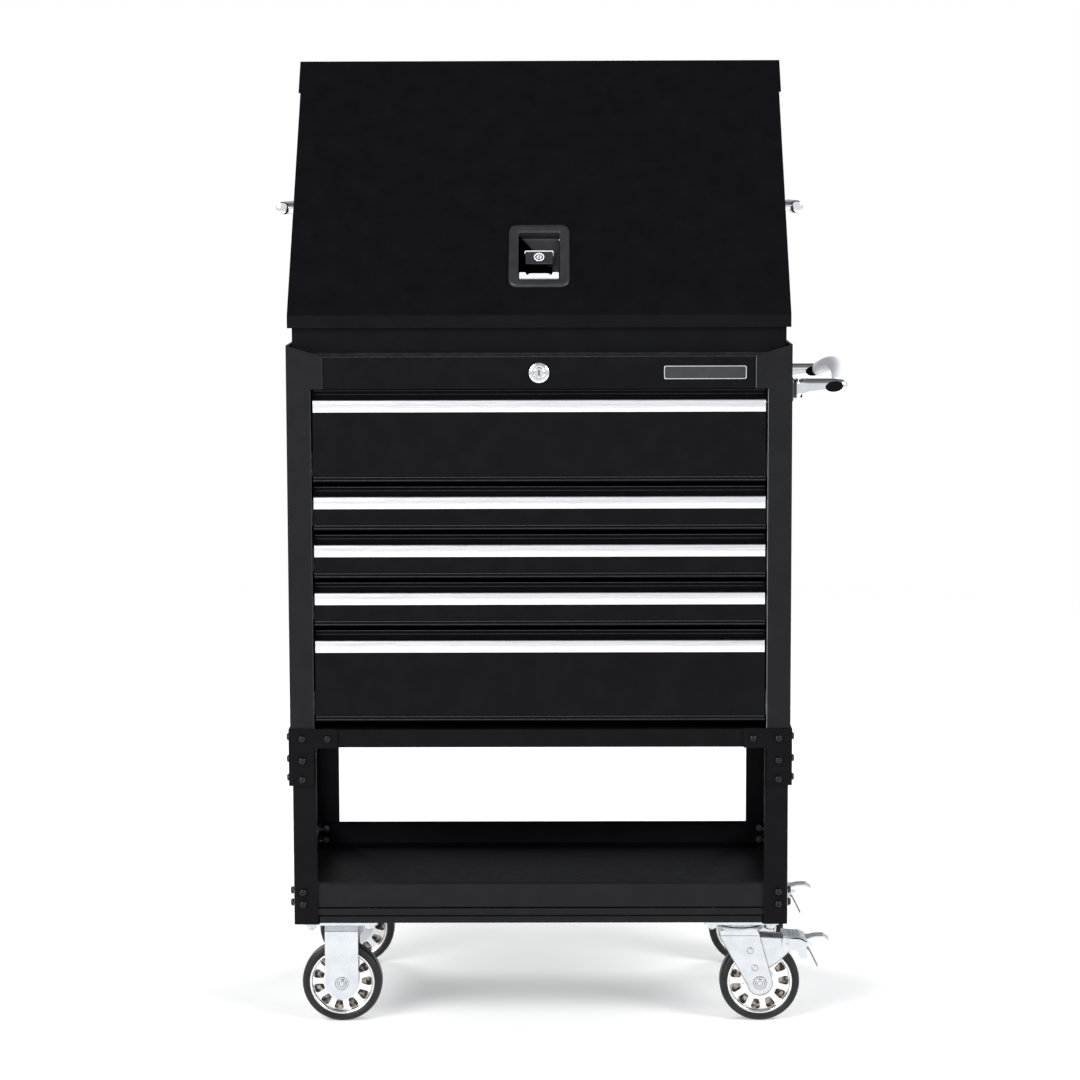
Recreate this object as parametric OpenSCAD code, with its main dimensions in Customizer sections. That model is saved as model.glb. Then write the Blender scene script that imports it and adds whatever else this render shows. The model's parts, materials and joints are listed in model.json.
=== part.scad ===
// Rolling tool chest: a lidded box with a sloping front stands in the top tray of a
// drawer cabinet, which is carried on an angle-iron frame with a lower shelf and casters.
// X runs to the right, Y to the back and Z up. The floor is at z = 0.

/* [Cabinet] */
// Width of the cabinet over its sides
cabinet_w = 762; // [740:2:800]
// Depth of the cabinet, front to back
cabinet_d = 483; // [470:1:500]
// Thickness of the folded sheet
sheet = 1.2; // [1:0.1:1.5]
// Height of the frame's underside, which is the height of a caster
frame_z = 164; // [160:1:170]
// Height of the shelf's lip
shelf_lip_z = 228; // [222:1:236]
// Height of the cabinet's underside
cabinet_z = 440; // [420:1:450]
// Height of the top of the drawer opening
opening_top = 986.5; // [984:0.5:990]
// Height of the front rail's top edge
rail_top = 1036; // [1034:1:1040]
// Height of the tray floor on which the top box stands
tray_z = 1026; // [1025:1:1027]
// Height of the cabinet's side walls and corner posts
post_top = 1053; // [1046:1:1056]
// Width of a corner post on the front
post_w = 36; // [34:1:38]

/* [Drawers] */
// Drawer heights from the top down, in units
drawer_units = [2, 1, 1, 1, 2];
// Depth of a drawer's tray
tray_len = 410; // [380:5:412]
// Height of an aluminium pull
pull_h = 18.7; // [16:0.1:20]
// Height of the finger recess over a pull
recess_h = 14; // [12:0.5:15]

/* [Top box] */
// Width of the box body
box_w = 747; // [740:1:748]
// Height of the box's flat top
box_top = 1488; // [1480:1:1490]
// Height of the fold between the lid's lip and its slope
lid_bend_z = 1097; // [1096:1:1098]
// Height of the lid's front lip
lid_lip_h = 19; // [15:1:22]
// Thickness of the lid's sheet
lid_t = 1.2; // [1:0.1:1.5]

/* [Casters] */
// Wheel diameter
wheel_d = 124; // [120:1:125]
// Tread width
wheel_w = 32; // [28:1:34]
// Distance of a caster's plate from the middle, to the side
caster_x = 309; // [300:1:310]
// Distance of a caster's plate from the middle, to the front or back
caster_y = 179.5; // [170:0.5:182]
// Trail of a swivel caster
trail = 30; // [26:1:32]
// Windows in each wheel's web
rim_windows = 11; // [9:1:12]

/* [Hidden] */

$fn = 48;
enamel = "#1b1b1e";
zinc = "#c9ccd0";
chromed = "#e4e6e8";
alloy = "#dcdee0";
rubber = "#17171a";

// Cabinet outline
half_w = cabinet_w / 2;
front_y = -cabinet_d / 2;
back_y = cabinet_d / 2;
post_in = half_w - post_w;
gusset_in = half_w - 55;
opening_h = 519;
opening_bottom = opening_top - opening_h;
rail_y = front_y + sheet;
post_return = 36;

// Drawers
unit_h = (opening_h - 7) / 7;
front_half_w = post_in - 3.5;
tray_half_w = post_in - 15;
skin_y = front_y + 1;
recess_y = skin_y + 15;
tray_back = recess_y + sheet + tray_len;
slide_front = front_y + 20;
slide_len = 430;
slide_lift = 31;
slide_half_h = 18;
slide_step = 2.4;
inner_slide_w = 9.3;
pull_flange_h = 7;
front_gap_low = 6;
front_gap_high = 2;
wall_gap_low = 8;
wall_gap_high = 12;

// The tab on each drawer's back, which the lock bar's hook rises behind
tab_drop = 4;
tab_len = 20;
tab_lip = 10;

// Lid slope, as a line from the bend at the lip to the corner of the flat top
lip_y = front_y + 16;
corner_y = front_y + 359.5;
slope_run = corner_y - lip_y;
slope_rise = box_top - lid_bend_z;
slope_len = sqrt(slope_run * slope_run + slope_rise * slope_rise);
slope_angle = atan2(slope_rise, slope_run);
box_front = front_y + 25;
box_back = front_y + 475;
box_half_w = box_w / 2;
skirt_x = box_half_w + 6.5;
cap_x = skirt_x + 3;
cap_skirt_h = 51;
seal_gap = 4;
hinge_r = 3.5;
hinge_y = box_back + hinge_r;
hinge_z = box_top - lid_t - hinge_r;
box_wall_top = box_top - lid_t - seal_gap;
hinge_half = 350;
hinge_pin_r = 1.5;
leaf_t = 1.2;
knuckles = 14;
knuckle_w = 2 * hinge_half / knuckles;
knuckle_gap = 0.3;

// Lid stays: the arm is as long as its pivot is far from the hinge, so that its pin runs
// along a straight slot that points at the hinge, and the arm turns twice as far as the lid
stay_len = 120;
slot_angle = 30;
stay_lag = 12;
stay_pivot_y = hinge_y - stay_len * cos(slot_angle + stay_lag);
stay_pivot_z = hinge_z - stay_len * sin(slot_angle + stay_lag);
stay_pin_r = 4;
stay_arm_x = box_half_w - sheet - 7;
stay_rail_x = stay_arm_x - 6;

// Latch on the slope
latch_s = 114.5;
bezel_w = 93;
bezel_h = 122;
bezel_r = 15;
pocket_w = 62.5;
pocket_h = 92;
pocket_depth = 24;
pocket_wall = 1.6;
paddle_axis = [pocket_h / 2 - 6, -9];
plug_s = -pocket_h / 2 + 1.5 + 42;

// Drawer lock
lock_z = 1011;
crank_r = 7.07;
lock_bar_y = back_y - 19.5;
hook_drop = 22;

// Casters
axle_z = wheel_d / 2;
axle_r = 6;
rim_r = 50.5;
plate_t = 4;
plate_under = frame_z - plate_t;
plate_x = [-57.5, 57.5];
plate_y = [-50, 50];
cheek_y = [21, 24];
kingpin_r = 8;
pedal_x = 72;
pedal_z = 122;
pedal_tip = 137;
pedal_pin_r = 3.5;

// Fasteners and the frame's plates
leg_w = 38;
leg_t = 2.5;
bracket_t = 2.5;
bracket_w = 36;
rail_t = 2.5;
rail_w = 122;
bolt_r = 3;
bolt_len = 10;
plate_bolt_r = 4;

// Handles
grab_bar_x = box_half_w + 28.5;
grab_r = 10;
grab_z = 1256;
grab_front = front_y + 225;
grab_back = front_y + 405;
push_chord_x = 455;
push_chord_z = 988.5;
push_r = 12;
push_half = 195;
push_sag = 22;
push_tilt = 60;
push_bend_r = (push_half * push_half + push_sag * push_sag) / (2 * push_sag);

// The origin is under the middle of the whole chest, handles included
left_x = -(grab_bar_x + grab_r);
right_x = push_chord_x + push_sag * cos(push_tilt) + push_r;
centre_x = (left_x + right_x) / 2;

function total(list, count) = count <= 0 ? 0 : list[count - 1] + total(list, count - 1);
function slot_top(i) = opening_top - unit_h * total(drawer_units, i);
function slot_bottom(i) = slot_top(i + 1);

// The ends of a hinge knuckle
function knuckle_x(k) =
    [k * knuckle_w + knuckle_gap - hinge_half, (k + 1) * knuckle_w - knuckle_gap - hinge_half];

// Where a line that lies under the slope by an inset passes a height, and a depth
function slope_y(z, inset) = lip_y + ((z - lid_bend_z) * slope_run + inset * slope_len) / slope_rise;
function slope_z(y, inset) = lid_bend_z + ((y - lip_y) * slope_rise - inset * slope_len) / slope_run;

module placed() {
    translate([-centre_x, 0, 0]) children();
}

module block(x, y, z) {
    translate([x[0], y[0], z[0]]) cube([x[1] - x[0], y[1] - y[0], z[1] - z[0]]);
}

module both_sides() {
    children();
    mirror([1, 0, 0]) children();
}

module both_ends() {
    children();
    mirror([0, 1, 0]) children();
}

// A shape drawn in Y and Z, and carried along X between two limits
module along_x(x) {
    translate([x[0], 0, 0]) rotate([90, 0, 90]) linear_extrude(x[1] - x[0]) children();
}

// A shape drawn in X and Z, and carried along Y between two limits
module along_y(y) {
    translate([0, y[1], 0]) rotate([90, 0, 0]) linear_extrude(y[1] - y[0]) children();
}

// A rod along Y
module rod_y(r, y, x = 0, z = 0) {
    translate([x, y[0], z]) rotate([-90, 0, 0]) cylinder(r = r, h = y[1] - y[0]);
}

// A rod along X
module rod_x(r, x, y = 0, z = 0) {
    translate([x[0], y, z]) rotate([0, 90, 0]) cylinder(r = r, h = x[1] - x[0]);
}

// The slope's own frame: X across, Y up the slope from the bend, Z out of the lid
module on_slope() {
    translate([0, lip_y, lid_bend_z]) rotate([slope_angle, 0, 0]) children();
}

// The places of the frame's bolts, with +Y out of the face that each head lies on
module at_frame_bolts() {
    face = back_y + bracket_t;
    side = half_w + bracket_t;
    both_ends() both_sides() {
        for (p = [[18, 14], [18, -20], [18, -49], [57, 14]]) {
            translate([half_w - p[0], face, cabinet_z + p[1]]) children();
            translate([side, back_y - p[0], cabinet_z + p[1]]) rotate([0, 0, -90]) children();
        }
        for (z = [196, 215]) {
            translate([half_w - 17, back_y - sheet, z]) children();
            translate([half_w - sheet, back_y - 17, z]) rotate([0, 0, -90]) children();
        }
    }
}

// The places of the bolts that hold the caster plates
module at_plate_bolts() {
    both_ends() both_sides() for (x = [-45, 45], y = [-37, 37])
        translate([caster_x + x, caster_y + y, 0]) children();
}

module frame_bolt_holes() {
    at_frame_bolts() rod_y(bolt_r + 0.1, [-bolt_len - 1, 1]);
}

module plate_bolt_holes() {
    at_plate_bolts() translate([0, 0, plate_under - 1]) cylinder(r = plate_bolt_r + 0.1, h = 9);
}

// ---- Cabinet ----

module cabinet_shell() {
    color(enamel) placed() difference() {
        union() {
            both_sides() {
                block([half_w - sheet, half_w], [front_y + sheet, back_y], [cabinet_z, post_top]);
                block([half_w - 4, half_w - sheet], [rail_y + sheet, back_y - sheet],
                      [post_top - 9, post_top]);
            }
            block([sheet - half_w, half_w - sheet], [back_y - sheet, back_y], [cabinet_z, post_top]);
        }
        frame_bolt_holes();
    }
}

module cabinet_floor() {
    color(enamel) placed()
        block([sheet - half_w, half_w - sheet], [rail_y + sheet, back_y - sheet],
              [opening_bottom - sheet, opening_bottom]);
}

module top_tray() {
    color(enamel) placed()
        block([sheet - half_w, half_w - sheet], [rail_y + sheet, back_y - sheet], [tray_z - sheet, tray_z]);
}

module front_post() {
    along_y([front_y, front_y + sheet]) polygon([
        [post_in, cabinet_z], [half_w, cabinet_z], [half_w, post_top],
        [gusset_in, rail_top], [gusset_in, opening_top], [post_in, opening_top],
    ]);
    block([post_in, post_in + sheet], [rail_y + sheet, front_y + post_return], [opening_bottom, opening_top]);
    block([post_in, post_in + 10], [rail_y, rail_y + sheet], [opening_bottom, opening_top]);
}

module rear_post() {
    front = back_y - sheet - 45;
    tall = [opening_bottom, tray_z - sheet];
    block([post_in, post_in + sheet], [front, back_y - sheet], tall);
    block([post_in + sheet, half_w - sheet], [front, front + sheet], tall);
}

module corner_posts() {
    color(enamel) placed() difference() {
        both_sides() {
            front_post();
            rear_post();
        }
        frame_bolt_holes();
    }
}

module top_rail() {
    reach = half_w - sheet;
    color(enamel) placed() difference() {
        union() {
            block([-reach, reach], [rail_y, rail_y + sheet], [opening_top, rail_top]);
            block([-reach, reach], [rail_y + sheet, front_y + 16], [rail_top - sheet, rail_top]);
            block([-reach, reach], [rail_y + sheet, front_y + 22], [opening_top, opening_top + sheet]);
        }
        rod_y(11, [front_y - 1, front_y + 30], 0, lock_z);
    }
}

module bottom_rail() {
    reach = half_w - sheet;
    color(enamel) placed() difference() {
        union() {
            block([-reach, reach], [rail_y, rail_y + sheet], [cabinet_z, opening_bottom]);
            block([-reach, reach], [rail_y + sheet, front_y + 22], [cabinet_z, cabinet_z + sheet]);
        }
        frame_bolt_holes();
    }
}

// One member of a drawer slide: a channel whose flanges point towards the drawer
module slide_member(x, y, half_h) {
    block([x[1] - sheet, x[1]], y, [-half_h, half_h]);
    for (side = [-1, 1])
        block([x[0], x[1] - sheet], y, side > 0 ? [half_h - sheet, half_h] : [-half_h, sheet - half_h]);
}

module slide_rails() {
    color(zinc) placed() both_sides() for (i = [0 : 4])
        translate([0, 0, slot_bottom(i) + slide_lift])
            slide_member([post_in - 10.5, post_in], [slide_front, slide_front + slide_len], slide_half_h);
}

// ---- Drawers ----

module drawer_front(i) {
    low = slot_bottom(i) + front_gap_low;
    high = slot_top(i) - front_gap_high;
    pull_z = high - recess_h - pull_h;
    cheek_z = pull_z + pull_flange_h + 0.2;
    cheek_x = [front_half_w - sheet, front_half_w];
    wide = [-front_half_w, front_half_w];
    block(wide, [skin_y, skin_y + sheet], [low, pull_z]);
    block(wide, [skin_y - 0.8, skin_y], [low, low + 3.2]);
    block(wide, [skin_y - 0.8, skin_y], [low + 4.8, low + 8]);
    block(wide, [skin_y + sheet, recess_y], [low, low + sheet]);
    block(wide, [skin_y + sheet, recess_y], [pull_z - sheet, pull_z]);
    block(wide, [recess_y, recess_y + sheet], [low, high]);
    block(wide, [recess_y - 5, recess_y], [high - sheet, high]);
    both_sides() {
        block(cheek_x, [skin_y + sheet, recess_y], [low + sheet, pull_z - sheet]);
        block(cheek_x, [recess_y - 8, recess_y], [cheek_z, high - sheet]);
    }
}

module drawer_tray(i) {
    low = slot_bottom(i) + wall_gap_low;
    high = slot_top(i) - wall_gap_high;
    y0 = recess_y + sheet;
    inner = tray_half_w - sheet;
    tab_z = high - tab_drop;
    tab_end = tray_back + tab_len;
    color(enamel) placed() {
        drawer_front(i);
        block([-tray_half_w, tray_half_w], [y0, tray_back], [low, low + sheet]);
        block([-inner, inner], [tray_back - sheet, tray_back], [low + sheet, high]);
        both_sides() {
            block([inner, tray_half_w], [y0, tray_back], [low + sheet, high]);
            block([inner - 3, inner], [y0, tray_back - sheet], [high - sheet, high]);
        }
        block([-10, 25], [tray_back, tab_end], [tab_z - sheet, tab_z]);
        block([-10, 25], [tab_end - sheet, tab_end], [tab_z - sheet - tab_lip, tab_z - sheet]);
    }
    color(zinc) placed() both_sides() translate([0, 0, slot_bottom(i) + slide_lift])
        mirror([1, 0, 0]) translate([-(2 * tray_half_w + inner_slide_w), 0, 0])
            slide_member([tray_half_w, tray_half_w + inner_slide_w], [slide_front, tray_back - 6],
                         slide_half_h - 2 * slide_step);
}

// The pull's section: a web with a curved lip in front and a flange behind
module pull_section() {
    lip_r = 34;
    lip_t = 1.8;
    web_t = 1.6;
    back = recess_y - skin_y + 1.4;
    half_arc = asin(pull_h / 2 / lip_r);
    steps = 8;
    outer = [for (k = [0 : steps]) let (a = half_arc * (2 * k / steps - 1))
        [-lip_r * (cos(a) - cos(half_arc)), lip_r * sin(a) + pull_h / 2]];
    inner = [for (k = [steps : -1 : 1]) outer[k] + [lip_t, 0]];
    polygon(concat(outer, inner, [
        [lip_t, web_t], [back - 1.4, web_t], [back - 1.4, pull_flange_h], [back, pull_flange_h], [back, 0],
    ]));
}

module drawer_pull(i) {
    pull_z = slot_top(i) - front_gap_high - recess_h - pull_h;
    color(alloy) placed() along_x([0.5 - front_half_w, front_half_w - 0.5])
        translate([skin_y - 1.4, pull_z]) pull_section();
}

module drawer_slides(i) {
    color(zinc) placed() both_sides() translate([0, 0, slot_bottom(i) + slide_lift])
        slide_member([post_in - 10.4, post_in - 3], [slide_front, slide_front + slide_len - 24],
                     slide_half_h - slide_step);
}

// ---- Drawer lock ----

module lock_housing() {
    color(chromed) placed() difference() {
        union() {
            rod_y(15.5, [front_y - 2.4, rail_y], 0, lock_z);
            rod_y(13, [front_y - 3.6, front_y - 2.4], 0, lock_z);
            rod_y(10.9, [rail_y, front_y + 26], 0, lock_z);
        }
        rod_y(8.55, [front_y - 4, front_y + 27], 0, lock_z);
    }
    color(zinc) placed() for (z = [560, 900]) difference() {
        block([-11, 21], [lock_bar_y - 3, back_y - sheet], [z, z + 14]);
        block([-4.6, 14.6], [lock_bar_y - 0.6, lock_bar_y + 3.6], [z - 1, z + 15]);
        block([-8, 18], [lock_bar_y + 3.6 + sheet, back_y], [z - 1, z + 15]);
    }
}

module lock_plug() {
    arm_back = lock_bar_y - 2;
    color(chromed) placed() {
        difference() {
            rod_y(8.5, [front_y - 4.2, front_y + 25], 0, lock_z);
            block([-1, 1], [front_y - 5, front_y + 2], [lock_z - 4.5, lock_z + 4.5]);
        }
        rod_y(3, [front_y + 24, arm_back - 3], 0, lock_z);
        translate([0, arm_back - 4, lock_z]) rotate([0, 45, 0]) block([-4.5, crank_r + 4], [0, 4], [-4, 4]);
        rod_y(2, [arm_back - 1, lock_bar_y + 5], crank_r * cos(45), lock_z - crank_r * sin(45));
    }
}

module lock_bar() {
    pin_z = lock_z - crank_r * sin(45);
    color(zinc) placed() {
        difference() {
            block([-4, 14], [lock_bar_y, lock_bar_y + 3], [500, pin_z + 6]);
            block([1, 11], [lock_bar_y - 1, lock_bar_y + 4], [pin_z - 2.5, pin_z + 2.5]);
        }
        for (i = [0 : 4]) {
            hook_z = slot_top(i) - wall_gap_high - tab_drop - sheet - hook_drop;
            block([-2, 12], [tray_back + 14, lock_bar_y], [hook_z, hook_z + 2]);
            block([-2, 12], [tray_back + 14, tray_back + 16], [hook_z + 2, hook_z + 10]);
        }
    }
}

// ---- Frame ----

module leg() {
    x = half_w - sheet;
    y = back_y - sheet;
    block([x - leg_w, x], [y - leg_t, y], [frame_z, cabinet_z]);
    block([x - leg_t, x], [y - leg_w, y - leg_t], [frame_z, cabinet_z]);
}

module frame_legs() {
    color(enamel) placed() difference() {
        both_ends() both_sides() leg();
        frame_bolt_holes();
    }
}

// An angled plate over a cabinet corner and the leg below it
module corner_bracket() {
    t = bracket_t;
    low = cabinet_z - 59;
    high = cabinet_z + 29;
    arm_z = cabinet_z - 1;
    inner_x = half_w - bracket_w;
    inner_y = back_y - bracket_w;
    block([inner_x, half_w + t], [back_y, back_y + t], [low, high]);
    block([inner_x - bracket_w, inner_x], [back_y, back_y + t], [arm_z, high]);
    block([half_w, half_w + t], [inner_y, back_y], [low, high]);
    block([half_w, half_w + t], [inner_y - bracket_w, inner_y], [arm_z, high]);
    block([inner_x, half_w], [back_y - sheet, back_y], [low, cabinet_z]);
    block([half_w - sheet, half_w], [inner_y, back_y - sheet], [low, cabinet_z]);
}

module corner_brackets() {
    color(enamel) placed() difference() {
        both_ends() both_sides() corner_bracket();
        frame_bolt_holes();
    }
}

module shelf_tray() {
    x = half_w - sheet - 3;
    y = back_y - sheet - 3;
    floor_z = 190;
    apron_z = 178;
    color(enamel) placed() difference() {
        union() {
            block([-x, x], [-y, y], [floor_z - sheet, floor_z]);
            both_ends() {
                block([-x, x], [y - sheet, y], [floor_z, shelf_lip_z]);
                block([-x, x], [y - sheet, y], [apron_z, floor_z - sheet]);
                block([-x, x], [y - 9, y - sheet], [shelf_lip_z - sheet, shelf_lip_z]);
            }
            both_sides() block([x - sheet, x], [sheet - y, y - sheet], [floor_z, shelf_lip_z]);
        }
        frame_bolt_holes();
    }
}

// A channel across the frame, under which the casters are bolted
module base_rail() {
    x = half_w - sheet - leg_w;
    y = back_y - sheet - 1;
    front = y - rail_w;
    wall = [frame_z + rail_t, frame_z + 12.5];
    block([-x, x], [y - rail_t, y], wall);
    block([-x, x], [front, front + rail_t], wall);
    block([-x, x], [front, y], [frame_z, frame_z + rail_t]);
    both_sides() block([x, half_w - sheet - leg_t], [front, y - 2], [frame_z, frame_z + rail_t]);
}

module base_rails() {
    color(enamel) placed() difference() {
        both_ends() base_rail();
        plate_bolt_holes();
    }
}

// A button head with its shank, pointing along +Y
module button_bolt() {
    head_r = 5.8;
    rod_y(head_r, [0, 2]);
    translate([0, 2, 0]) rotate([-90, 0, 0]) cylinder(r1 = head_r, r2 = 3.2, h = 2.5);
    rod_y(bolt_r, [-bolt_len, 0]);
}

// One bolt and nut through a caster plate and the rail above it
module plate_bolt() {
    translate([0, 0, plate_under - 7]) cylinder(r = 7.5, h = 7, $fn = 6);
    translate([0, 0, plate_under - 9]) cylinder(r = plate_bolt_r, h = 17.5);
    translate([0, 0, frame_z + rail_t]) cylinder(r = 8, h = 4);
}

module frame_bolts() {
    color("#2a2a2d") placed() at_frame_bolts() button_bolt();
    color(zinc) placed() at_plate_bolts() plate_bolt();
}

// ---- Handles and badge ----

// The ends of the push handle's arc lie on its chord, and its middle stands out and up
module push_handle_bar() {
    half_arc = asin(push_half / push_bend_r);
    drop = push_bend_r - push_sag;
    color(chromed) placed()
        translate([push_chord_x - drop * cos(push_tilt), 0, push_chord_z - drop * sin(push_tilt)])
            rotate([0, -push_tilt, 0]) rotate([0, 0, -half_arc]) rotate_extrude(angle = 2 * half_arc)
                translate([push_bend_r, 0]) circle(r = push_r);
}

module push_handle_brackets() {
    arm_z = [968.4, 998.4];
    flange_t = 4;
    flange_half_w = 24;
    end_r = 12.8;
    color(chromed) placed() both_ends() difference() {
        union() {
            hull() {
                block([half_w + 3, half_w + 8], [push_half - 16, push_half + 16], arm_z);
                translate([push_chord_x, push_half, arm_z[1] - end_r]) rotate([90, 0, 0])
                    cylinder(r = end_r, h = 22, center = true, $fn = 32);
            }
            block([half_w, half_w + flange_t], [push_half - flange_half_w, push_half + flange_half_w],
                  [arm_z[0] - 4.4, arm_z[1] + 4.4]);
        }
        translate([push_chord_x - (push_bend_r - push_sag) * cos(push_tilt), 0,
                   push_chord_z - (push_bend_r - push_sag) * sin(push_tilt)])
            rotate([0, -push_tilt, 0]) rotate_extrude() translate([push_bend_r, 0]) circle(r = push_r);
    }
}

module nameplate() {
    color(alloy) placed() block([188, 312], [front_y - 0.6, rail_y], [1001, 1021]);
}

module grab_handles() {
    wall = box_half_w;
    color(chromed) placed() both_sides() {
        rod_y(grab_r, [grab_front, grab_back], grab_bar_x, grab_z);
        for (y = [grab_front + 12, grab_back - 12]) {
            rod_x(8, [wall, grab_bar_x], y, grab_z);
            rod_x(15, [wall, wall + 4], y, grab_z);
        }
    }
}

// ---- Top box ----

// The box side, whose sloping edge lies under the lid by the seal's thickness
module box_side() {
    inset = lid_t + seal_gap;
    polygon([
        [box_front, tray_z], [box_back, tray_z], [box_back, box_wall_top],
        [slope_y(box_wall_top, inset), box_wall_top], [box_front, slope_z(box_front, inset)],
    ]);
}

module box_shell() {
    inner = box_half_w - sheet;
    lip_top = lid_bend_z - 3;
    back_top = box_wall_top - 3;
    color(enamel) placed() {
        both_sides() {
            along_x([inner, box_half_w]) box_side();
            translate([0, stay_pivot_y, stay_pivot_z]) block([stay_arm_x + 3, inner], [-9, 9], [-9, 9]);
        }
        block([-inner, inner], [box_front, box_front + sheet], [tray_z, lip_top]);
        block([-inner, inner], [box_front + sheet, box_front + 15], [lip_top - sheet, lip_top]);
        block([-inner, inner], [box_back - sheet, box_back], [tray_z, back_top]);
        block([-inner, inner], [box_back - 12, box_back - sheet], [back_top - sheet, back_top]);
    }
}

module box_floor() {
    inner = box_half_w - sheet;
    color(rubber) placed()
        block([-inner, inner], [box_front + sheet, box_back - sheet], [tray_z, tray_z + 3]);
}

// Knuckles of the long hinge: each leaf has every other one
module knuckle_row(first) {
    for (k = [first : 2 : knuckles - 1])
        rod_x(hinge_r, knuckle_x(k), hinge_y, hinge_z);
}

module hinge_leaf_box() {
    leaf = [box_back, box_back + leaf_t];
    color(zinc) placed() {
        knuckle_row(0);
        rod_x(hinge_pin_r, [-hinge_half, hinge_half], hinge_y, hinge_z);
        for (k = [0 : 2 : knuckles - 1])
            block(knuckle_x(k), leaf, [hinge_z - 10, hinge_z]);
        block([-hinge_half, hinge_half], leaf, [hinge_z - 30, hinge_z - 8]);
    }
}

module hinge_leaf_lid() {
    top = box_top - lid_t;
    color(zinc) placed() difference() {
        union() {
            knuckle_row(1);
            for (k = [1 : 2 : knuckles - 1])
                block(knuckle_x(k), [hinge_y - 10, hinge_y], [top - leaf_t, top]);
            block([-hinge_half, hinge_half], [hinge_y - 26, hinge_y - 5], [top - leaf_t, top]);
        }
        rod_x(hinge_pin_r + 0.05, [-hinge_half - 1, hinge_half + 1], hinge_y, hinge_z);
    }
}

// ---- Lid ----

// The lid's folded sheet in section: lip, slope and flat top
module lid_fold() {
    polygon([
        [lip_y, lid_bend_z - lid_lip_h], [lip_y, lid_bend_z], [corner_y, box_top], [box_back, box_top],
        [box_back, box_top - lid_t], [slope_y(box_top - lid_t, lid_t), box_top - lid_t],
        [lip_y + lid_t, slope_z(lip_y + lid_t, lid_t)], [lip_y + lid_t, lid_bend_z - lid_lip_h],
    ]);
}

// The lid's side skirt: a band under the slope, and a deeper one under the flat top
module lid_skirt() {
    band = 19;
    low = lid_bend_z - lid_lip_h;
    cap = box_top - cap_skirt_h;
    polygon([
        [lip_y, low], [lip_y, lid_bend_z], [corner_y, box_top], [box_back, box_top], [box_back, cap],
        [slope_y(cap, band), cap], [slope_y(low, band), low],
    ]);
}

module lid_panel() {
    cap = box_top - cap_skirt_h;
    color(enamel) placed() {
        difference() {
            along_x([lid_t - skirt_x, skirt_x - lid_t]) lid_fold();
            on_slope() translate([0, latch_s, 0]) block([-38, 38], [-52, 52], [-5, 5]);
        }
        both_sides() {
            along_x([skirt_x - lid_t, skirt_x]) lid_skirt();
            along_x([skirt_x, cap_x]) polygon([
                [slope_y(cap, 0), cap], [corner_y, box_top], [box_back, box_top], [box_back, cap],
            ]);
        }
    }
}

module lid_seal() {
    thick = seal_gap - 1;
    inner = box_half_w - 14;
    color(rubber) placed() {
        both_sides() on_slope() block([inner, box_half_w], [16, slope_len - 12], [-lid_t - thick, -lid_t]);
        on_slope() block([-inner, inner], [4, 14], [-lid_t - thick, -lid_t]);
    }
}

// A slotted strap on each side of the lid, whose slot points at the hinge
module lid_stay_rails() {
    start = 18;
    end = 262;
    x = [stay_rail_x - 3, stay_rail_x];
    slot_ends = [28, 2 * stay_len * cos(stay_lag) + 6];
    color(zinc) placed() both_sides() difference() {
        union() {
            translate([0, hinge_y, hinge_z]) rotate([180 + slot_angle, 0, 0]) block(x, [start, end], [-9, 9]);
            along_x(x) polygon([
                [hinge_y - 60, box_top - lid_t - 1.2], [hinge_y - 60, hinge_z - 30],
                [hinge_y - 90, hinge_z - 46], [hinge_y - 90, box_top - lid_t - 1.2],
            ]);
            block([x[0] - 16, x[1]], [hinge_y - 90, hinge_y - 60], [box_top - lid_t - 2.4, box_top - lid_t]);
            on_slope() block([x[0] - 16, x[1]], [slope_len - 190, slope_len - 150], [-lid_t - 2.4, -lid_t]);
        }
        translate([0, hinge_y, hinge_z]) rotate([180 + slot_angle, 0, 0])
            block([x[0] - 1, x[1] + 1], slot_ends, [-stay_pin_r - 0.3, stay_pin_r + 0.3]);
    }
}

module lid_stay_arms() {
    turn = 180 + slot_angle - stay_lag;
    color(zinc) placed() both_sides() translate([0, stay_pivot_y, stay_pivot_z]) rotate([turn, 0, 0]) {
        block([stay_arm_x, stay_arm_x + 2.7], [0, stay_len], [-8, 8]);
        rod_x(8, [stay_arm_x, stay_arm_x + 2.7], 0, 0);
        rod_x(8, [stay_arm_x, stay_arm_x + 2.7], stay_len, 0);
        rod_x(stay_pin_r, [stay_rail_x - 6, stay_arm_x], stay_len, 0);
        rod_x(7, [stay_arm_x - 2.4, stay_arm_x], 0, 0);
    }
}

// ---- Latch, drawn in the slope's frame with its middle at the origin ----

module at_latch() {
    on_slope() translate([0, latch_s, 0]) children();
}

module rounded_plate(w, h, r, z) {
    block([-w / 2 + r, w / 2 - r], [-h / 2, h / 2], z);
    block([-w / 2, w / 2], [-h / 2 + r, h / 2 - r], z);
    for (x = [-1, 1], y = [-1, 1])
        translate([x * (w / 2 - r), y * (h / 2 - r), z[0]]) cylinder(r = r, h = z[1] - z[0]);
}

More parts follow.
